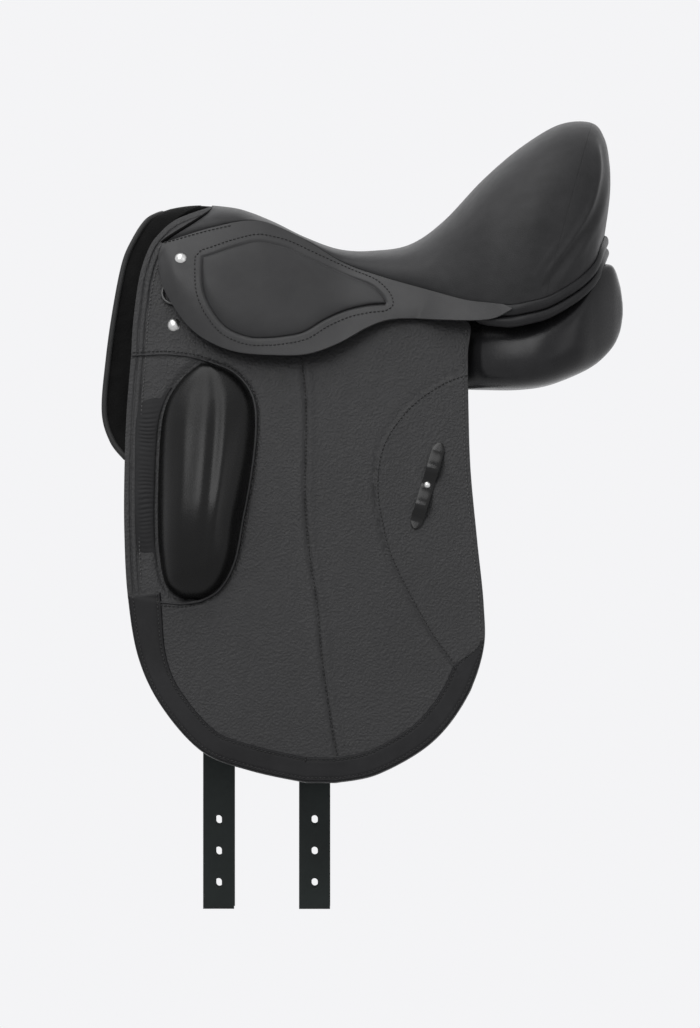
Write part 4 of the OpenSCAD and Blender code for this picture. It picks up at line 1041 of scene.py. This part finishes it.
skirt_leather = leather("skirt_leather", (0.050, 0.050, 0.051), pebble=0.9, depth=0.12, rough=0.46,
                        gloss=0.03, mottle=0.1, shine=0.22)
skirt_s, skirt_v = grid_of(np.linspace(0, 1, 220), np.linspace(0, 1, 100))
skirt_shape = skirt_point(skirt_s, skirt_v)
PAD_EDGES = [
    (-150, 42, -150.5, 32.5), (-138.5, 45.5, -149, 9), (-124.5, 50.5, -141, -11), (-109, 55, -125.5, -29.5),
    (-94, 58, -104, -38.5), (-78.5, 55.5, -85.5, -39.5), (-63, 51, -68.5, -38), (-44, 42, -47.5, -33.5),
    (-23.5, 32.5, -26.5, -21), (0, 22, -5, -11.5), (20.5, 13.5, 16, -6.5), (31.5, 4, 30.5, -5),
    (35.5, -3.5, 35, -5)]
pad_top, pad_low = both_edges(PAD_EDGES, 120)
pad_outline = np.concatenate([pad_low, pad_top[::-1], pad_low[:1]])


def window(x, z):
    """Depth of the window that is pressed into the skirt for the patch."""
    return WINDOW_D * ease((WINDOW_EDGE + distance(x, z, pad_outline)[0]) / WINDOW_EDGE)


skirt_shape[..., 1] -= window(skirt_shape[..., 0], skirt_shape[..., 2])
for side, sign in SIDES:
    skirt = skin(f"skirt_{side}", skirt_shape * (1, sign, 1), skirt_leather, flip=sign < 0)
    thicken(skirt, SKIRT_T - WINDOW_D, edge=0.9)
    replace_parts(skirt, f"skirt_{side}", f"skirt_tail_{side}")
    bend_skirt(skirt, side)

# Skirt patches
# A padded patch of finer leather set into each skirt's window, with a sunk edge and a sharp corner at both
# ends, and a row of stitches round it.

PAD_CROWN = 5.2
PAD_SUNK = 1.2
PAD_T = 1.5


def on_skirt(x, z, out=0.0):
    """The point of the skirt's face that is seen at x and z from the side, found by Newton's steps."""
    shape = np.broadcast(x, z).shape
    goal = np.stack(np.broadcast_arrays(x, z), axis=-1).reshape(-1, 2)
    coarse = skirt_shape[::4, ::4][..., [0, 2]].reshape(-1, 2)
    start = np.argmin(np.sum((goal[:, None, :] - coarse) ** 2, axis=-1), axis=1)
    s, v = skirt_s[::4, ::4].ravel()[start], skirt_v[::4, ::4].ravel()[start]
    step = 1e-4
    for _ in range(8):
        here = skirt_point(s, v)[..., [0, 2]]
        ds = (skirt_point(s + step, v)[..., [0, 2]] - here) / step
        dv = (skirt_point(s, v + step)[..., [0, 2]] - here) / step
        gap = goal - here
        area = ds[:, 0] * dv[:, 1] - ds[:, 1] * dv[:, 0]
        area = np.where(np.abs(area) < 1e-6, 1e-6, area)
        s = np.clip(s + 0.9 * (gap[:, 0] * dv[:, 1] - gap[:, 1] * dv[:, 0]) / area, 0, 1)
        v = np.clip(v + 0.9 * (ds[:, 0] * gap[:, 1] - ds[:, 1] * gap[:, 0]) / area, 0, 1)
    return skirt_point(s.reshape(shape), v.reshape(shape), out)


def pad_point(a, b):
    """The patch: sunk at its edge, then rising in a flat crown."""
    e = through(PAD_EDGES, a)
    ends = np.clip(1 - np.abs(2 * a - 1) ** 6, 0, 1) ** 0.5
    across = np.clip(1 - np.abs(2 * b - 1) ** 3, 0, 1) ** 0.5
    x, z = mix(e[..., 0], e[..., 2], b), mix(e[..., 1], e[..., 3], b)
    return on_skirt(x, z, PAD_CROWN * ends * across - PAD_SUNK)


inset_leather = leather("inset_leather", (0.041, 0.041, 0.042), pebble=0.8, depth=0.10, rough=0.50,
                        mottle=0.1, shine=0.2)
pad_a, pad_b = grid_of(eased(90), eased(50))
pad_shape = pad_point(pad_a, pad_b)
for side, sign in SIDES:
    pad = skin(f"skirt_pad_{side}", pad_shape * (1, sign, 1), inset_leather, flip=sign < 0)
    thicken(pad, PAD_T, edge=0.4)
    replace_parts(pad, f"skirt_pad_{side}", f"pad_tail_{side}")
    bend_skirt(pad, side)

SKIRT_OUT = (0.0, 1.0, 0.25)
PAD_ROW = -8.0
seam_s = np.linspace(0.02, 0.36, 120)
around = beside(pad_outline, PAD_ROW)
skirt_rows = [(skirt_point(seam_s, 0 * seam_s + 0.02), SKIRT_OUT),
              (on_skirt(around[:, 0], around[:, 1]), SKIRT_OUT)]
for side, sign in SIDES:
    row = sewn(f"skirt_stitches_{side}", skirt_rows, dark_thread, sign)
    bend_skirt(row, side)

# Girth straps
# Four flat straps that hang inside the flaps, each on one rivet, of thick bridle leather with a smooth
# face, a tan cut edge and three oval holes. The rear ones hang on a woven web from the tree's rail.

STRAP_W = 31.5
STRAP_T = 4.2
STRAP_DROP = 620.0
STRAP_PIVOT = -76.0
HOLE_W = 6.5
HOLE_H = 10.4
HOLE_PITCH = 32.0
HOLE_END = 26.0
HOLE_COUNT = 3
STRAPS = (("front", -134.0), ("rear", -36.5))
strap_leather = leather("strap_leather", (0.016, 0.021, 0.02), pebble=0.7, depth=0.08, rough=0.4,
                        gloss=0.04, shine=0.19)
cut_edge = leather("cut_edge", (0.16, 0.115, 0.07), pebble=0.5, depth=0.06, rough=0.7, shine=0.2)


def strap_inner(x):
    """Inner face of a strap: inside the flap, at the height where it hangs."""
    return side_point(x - STRAP_W / 2, STRAP_PIVOT + STRAP_W / 2)[1] - FLAP_T - 0.6 - STRAP_T


def strap_half(x, side):
    """One half of a strap's face, from the middle line or the holes' edge out to its side."""
    holes = [-STRAP_DROP + HOLE_END + k * HOLE_PITCH for k in range(HOLE_COUNT)]
    levels = [STRAP_PIVOT + STRAP_W / 2 * np.sin(np.linspace(0, 0.5 * np.pi, 14)),
              np.linspace(STRAP_PIVOT, holes[-1] + 8, 60), np.linspace(holes[0] - 8, -STRAP_DROP, 8)]
    for hole in holes:
        levels.append(hole + HOLE_H / 2 * np.cos(np.linspace(0, np.pi, 25)))
        levels.append(np.linspace(hole + HOLE_H / 2, hole + HOLE_PITCH - HOLE_H / 2, 8)[1:-1])
    z = np.unique(np.round(np.concatenate(levels), 4))[::-1]
    straight = (HOLE_H - HOLE_W) / 2
    inner = 0 * z
    for hole in holes:
        beyond = np.maximum(np.abs(z - hole) - straight, 0)
        inner = np.maximum(inner, np.sqrt(np.maximum((HOLE_W / 2) ** 2 - beyond**2, 0)))
    outer = np.sqrt(np.maximum((STRAP_W / 2) ** 2 - np.maximum(z - STRAP_PIVOT, 0) ** 2, 0))
    across = mix(inner[:, None], outer[:, None], np.linspace(0, 1, 12)[None, :])
    outside = strap_inner(x) + STRAP_T
    return np.stack([x + side * across, outside + 0 * across, z[:, None] + 0 * across], axis=-1)


def joined(name, pieces):
    """Joins pieces into one and welds the points that meet."""
    whole = pieces[0]
    with bpy.context.temp_override(active_object=whole, selected_editable_objects=pieces):
        bpy.ops.object.join()
    whole.name = name
    weld = whole.modifiers.new("weld", "WELD")
    weld.merge_threshold = 0.01 * MM
    return whole


for place, strap_x in STRAPS:
    for side, sign in SIDES:
        halves = [skin("half", strap_half(strap_x, way) * (1, sign, 1), strap_leather, flip=sign * way > 0)
                  for way in (-1, 1)]
        strap = thicken(joined(f"strap_{place}_{side}", halves), STRAP_T, edge=0.7)
        strap.data.materials.append(cut_edge)
        strap.modifiers["thickness"].material_offset_rim = 1
        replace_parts(strap, f"strap_{place}_{side}")
        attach(strap, f"{place}_strap_{side}")

WEB_T = 2.4
WEB_X = dict(STRAPS)["rear"]
WEB_PATH = [(46, 23.8), (66, 13), (78, 0), (85, -20), (90.5, -38)]


def web_strip(x):
    """Woven band from the tree's rail down inside the flap: a path of half widths and heights that ends flat
    against the strap, carried along the strap's width."""
    end = strap_inner(x) - SKIRT_LIE
    flat = [(end, STRAP_PIVOT + 24), (end, STRAP_PIVOT - STRAP_W / 2)]
    run, across = grid_of(np.linspace(0, 1, 70), np.linspace(-1, 1, 15))
    path = through(WEB_PATH + flat, run)
    return np.stack([x + STRAP_W / 2 * across, path[..., 0], path[..., 1]], axis=-1)


for side, sign in SIDES:
    web = skin(f"girth_web_{side}", web_strip(WEB_X) * (1, sign, 1), web_finish, flip=sign > 0)
    thicken(web, WEB_T, edge=0.5)
    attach(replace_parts(web, f"girth_web_{side}"), "saddle")

# Stirrup leather keepers
# A narrow glossy strap with a pointed tip at each end, held to the flap by one screw stud and raised in two
# loops for the end of the stirrup leather.

KEEPER = (78.0, -190.0)
KEEPER_LEN = 91.0
KEEPER_W = 13.0
KEEPER_T = 2.0
KEEPER_RISE = 6.0
KEEPER_SLANT = math.radians(17)
keeper_leather = leather("keeper_leather", (0.003, 0.003, 0.003), pebble=0.6, depth=0.06, rough=0.16,
                         gloss=0.2, shine=0.2)


def keeper_point(t, w):
    """The keeper: t runs along it and w across it; it rises twice and narrows to its tips."""
    tip = np.minimum(1, 1.6 * np.sqrt(np.maximum(1 - t * t, 0)) + 0.12)
    a, b = t * KEEPER_LEN / 2, w * KEEPER_W / 2 * tip
    loop = KEEPER_RISE * np.sin(np.pi * np.minimum(np.abs(t) / 0.86, 1)) ** 2
    return side_point(KEEPER[0] + a * np.sin(KEEPER_SLANT) + b * np.cos(KEEPER_SLANT),
                      KEEPER[1] + a * np.cos(KEEPER_SLANT) - b * np.sin(KEEPER_SLANT),
                      0.3 + loop + KEEPER_T - 0.35 * w**4)


keeper_shape = keeper_point(*grid_of(np.linspace(-1, 1, 120), np.linspace(-1, 1, 17)))
for side, sign in SIDES:
    keeper = skin(f"keeper_{side}", keeper_shape * (1, sign, 1), keeper_leather, flip=sign < 0)
    thicken(keeper, KEEPER_T, edge=0.5)
    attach(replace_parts(keeper, f"keeper_{side}"), f"flap_{side}")

# Metal fittings
# Polished nails and screw studs of nickel silver, dee rings of silver kept very dark as painted shade of the
# skirts over them, and plain steel bars, catches and clips: pressed, turned or bent from wire, and driven or
# riveted in.

silver = drawn_steel("nickel_silver", (0.66, 0.66, 0.65), 0.2)
dress(silver, "skirt_nails", "flap_nails", "keeper_studs_left", "keeper_studs_right")
# The dee rings' silver is kept very dark: painted shade of the skirt that hangs over them, not a dull finish.
dress(drawn_steel("silver_painted_shade", (0.10, 0.10, 0.10), 0.4), "dee_ring_left", "dee_ring_right")
dress(plain_steel, "stirrup_bar_left", "stirrup_bar_right", "catch_pins", "bar_catch_left", "bar_catch_right",
      "dee_clips")

# Studio
# A plain pale floor under an even pale sky, four broad soft lamps, and a long lens at the height of the
# flaps, square to the near side.

PHOTO_H = 1028
PIXEL = 1.02
VIEW_MID = (-0.5 * MM, 0.0, -218.8 * MM)
LENS = 800.0
SENSOR = 36.0


def seen_rays(tree):
    """Share of 1 for rays from the camera, from mirrors and through glass, and of 0 for all others."""
    path = tree.nodes.new("ShaderNodeLightPath")
    seen = path.outputs["Is Camera Ray"]
    for ray in ("Is Glossy Ray", "Is Transmission Ray"):
        either = tree.nodes.new("ShaderNodeMath")
        either.operation = "MAXIMUM"
        tree.links.new(seen, either.inputs[0])
        tree.links.new(path.outputs[ray], either.inputs[1])
        seen = either.outputs[0]
    return seen


def pale(name, tone, share):
    """A pale surface that seen rays find mostly in one even tone, while it still takes shadows."""
    paper = Finish(name)
    grain = paper.noise(paper.place(), 30.0)
    paper.set(Base_Color=paper.tint(grain, tuple(0.97 * c for c in tone), tone), Roughness=0.9)
    glow = paper.node("ShaderNodeEmission", {}, {"Color": (*tone, 1.0), "Strength": 1.0})
    seen = Value(paper, seen_rays(paper.tree))
    plain = Value(paper, paper.shader.outputs[0])
    blend = paper.node("ShaderNodeMixShader", {}, {0: seen * share, 1: plain, 2: glow})
    paper.join(paper.tree.nodes["Material Output"].inputs[0], blend)
    return paper.material


FLOOR_Z = -1150.0
FLOOR_HALF = 6000.0
floor_span = np.linspace(-FLOOR_HALF, FLOOR_HALF, 9)
floor_x, floor_y = grid_of(floor_span, floor_span)
floor_grid = np.stack([floor_x, floor_y, FLOOR_Z + 0 * floor_x], axis=-1)
floor = skin("floor", floor_grid, pale("floor_paper", (0.9, 0.9, 0.91), 0.75))

world = bpy.data.worlds.new("studio")
bpy.context.scene.world = world
world.use_nodes = True
sky = world.node_tree
even = sky.nodes["Background"]
even.inputs["Color"].default_value = (0.9, 0.9, 0.92, 1.0)
even.inputs["Strength"].default_value = 0.20
backdrop = sky.nodes.new("ShaderNodeBackground")
backdrop.inputs["Color"].default_value = (0.905, 0.905, 0.92, 1.0)
backdrop.inputs["Strength"].default_value = 1.0
choice = sky.nodes.new("ShaderNodeMixShader")
sky.links.new(seen_rays(sky), choice.inputs[0])
sky.links.new(even.outputs[0], choice.inputs[1])
sky.links.new(backdrop.outputs[0], choice.inputs[2])
sky.links.new(choice.outputs[0], sky.nodes["World Output"].inputs[0])


def lamp(name, place, target, size, power):
    """A square soft lamp that faces the target."""
    light = bpy.data.lights.new(name, "AREA")
    light.shape = "RECTANGLE"
    light.size, light.size_y = size
    light.energy = power
    made = in_scene(name, light)
    away = np.asarray(place, float) - np.asarray(target, float)
    made.location = place
    made.rotation_euler = (math.acos(away[2] / np.linalg.norm(away)), 0.0, math.atan2(away[0], -away[1]))


lamp("key_lamp", (-1.3, -2.6, 2.0), (0, 0, -0.15), (1.8, 1.6), 34)
lamp("fill_lamp", (2.2, -2.6, 0.9), (0, 0, -0.2), (1.6, 2.2), 9)
lamp("top_lamp", (-0.8, -0.5, 2.5), (0, 0, 0), (2.4, 1.8), 30)
lamp("back_lamp", (0.4, 2.6, 1.0), (0, 0, -0.1), (2.0, 2.0), 6)

camera_data = bpy.data.cameras.new("camera")
camera_data.sensor_fit = "VERTICAL"
camera_data.sensor_height = SENSOR
camera_data.lens = LENS
camera_data.clip_end = 200.0
camera = in_scene("camera", camera_data)
away = PHOTO_H * PIXEL * MM * LENS / SENSOR
camera.location = (VIEW_MID[0], VIEW_MID[1] - away, VIEW_MID[2])
camera.rotation_euler = (math.pi / 2, 0.0, 0.0)
bpy.context.scene.camera = camera
bpy.context.scene.view_settings.view_transform = "Standard"
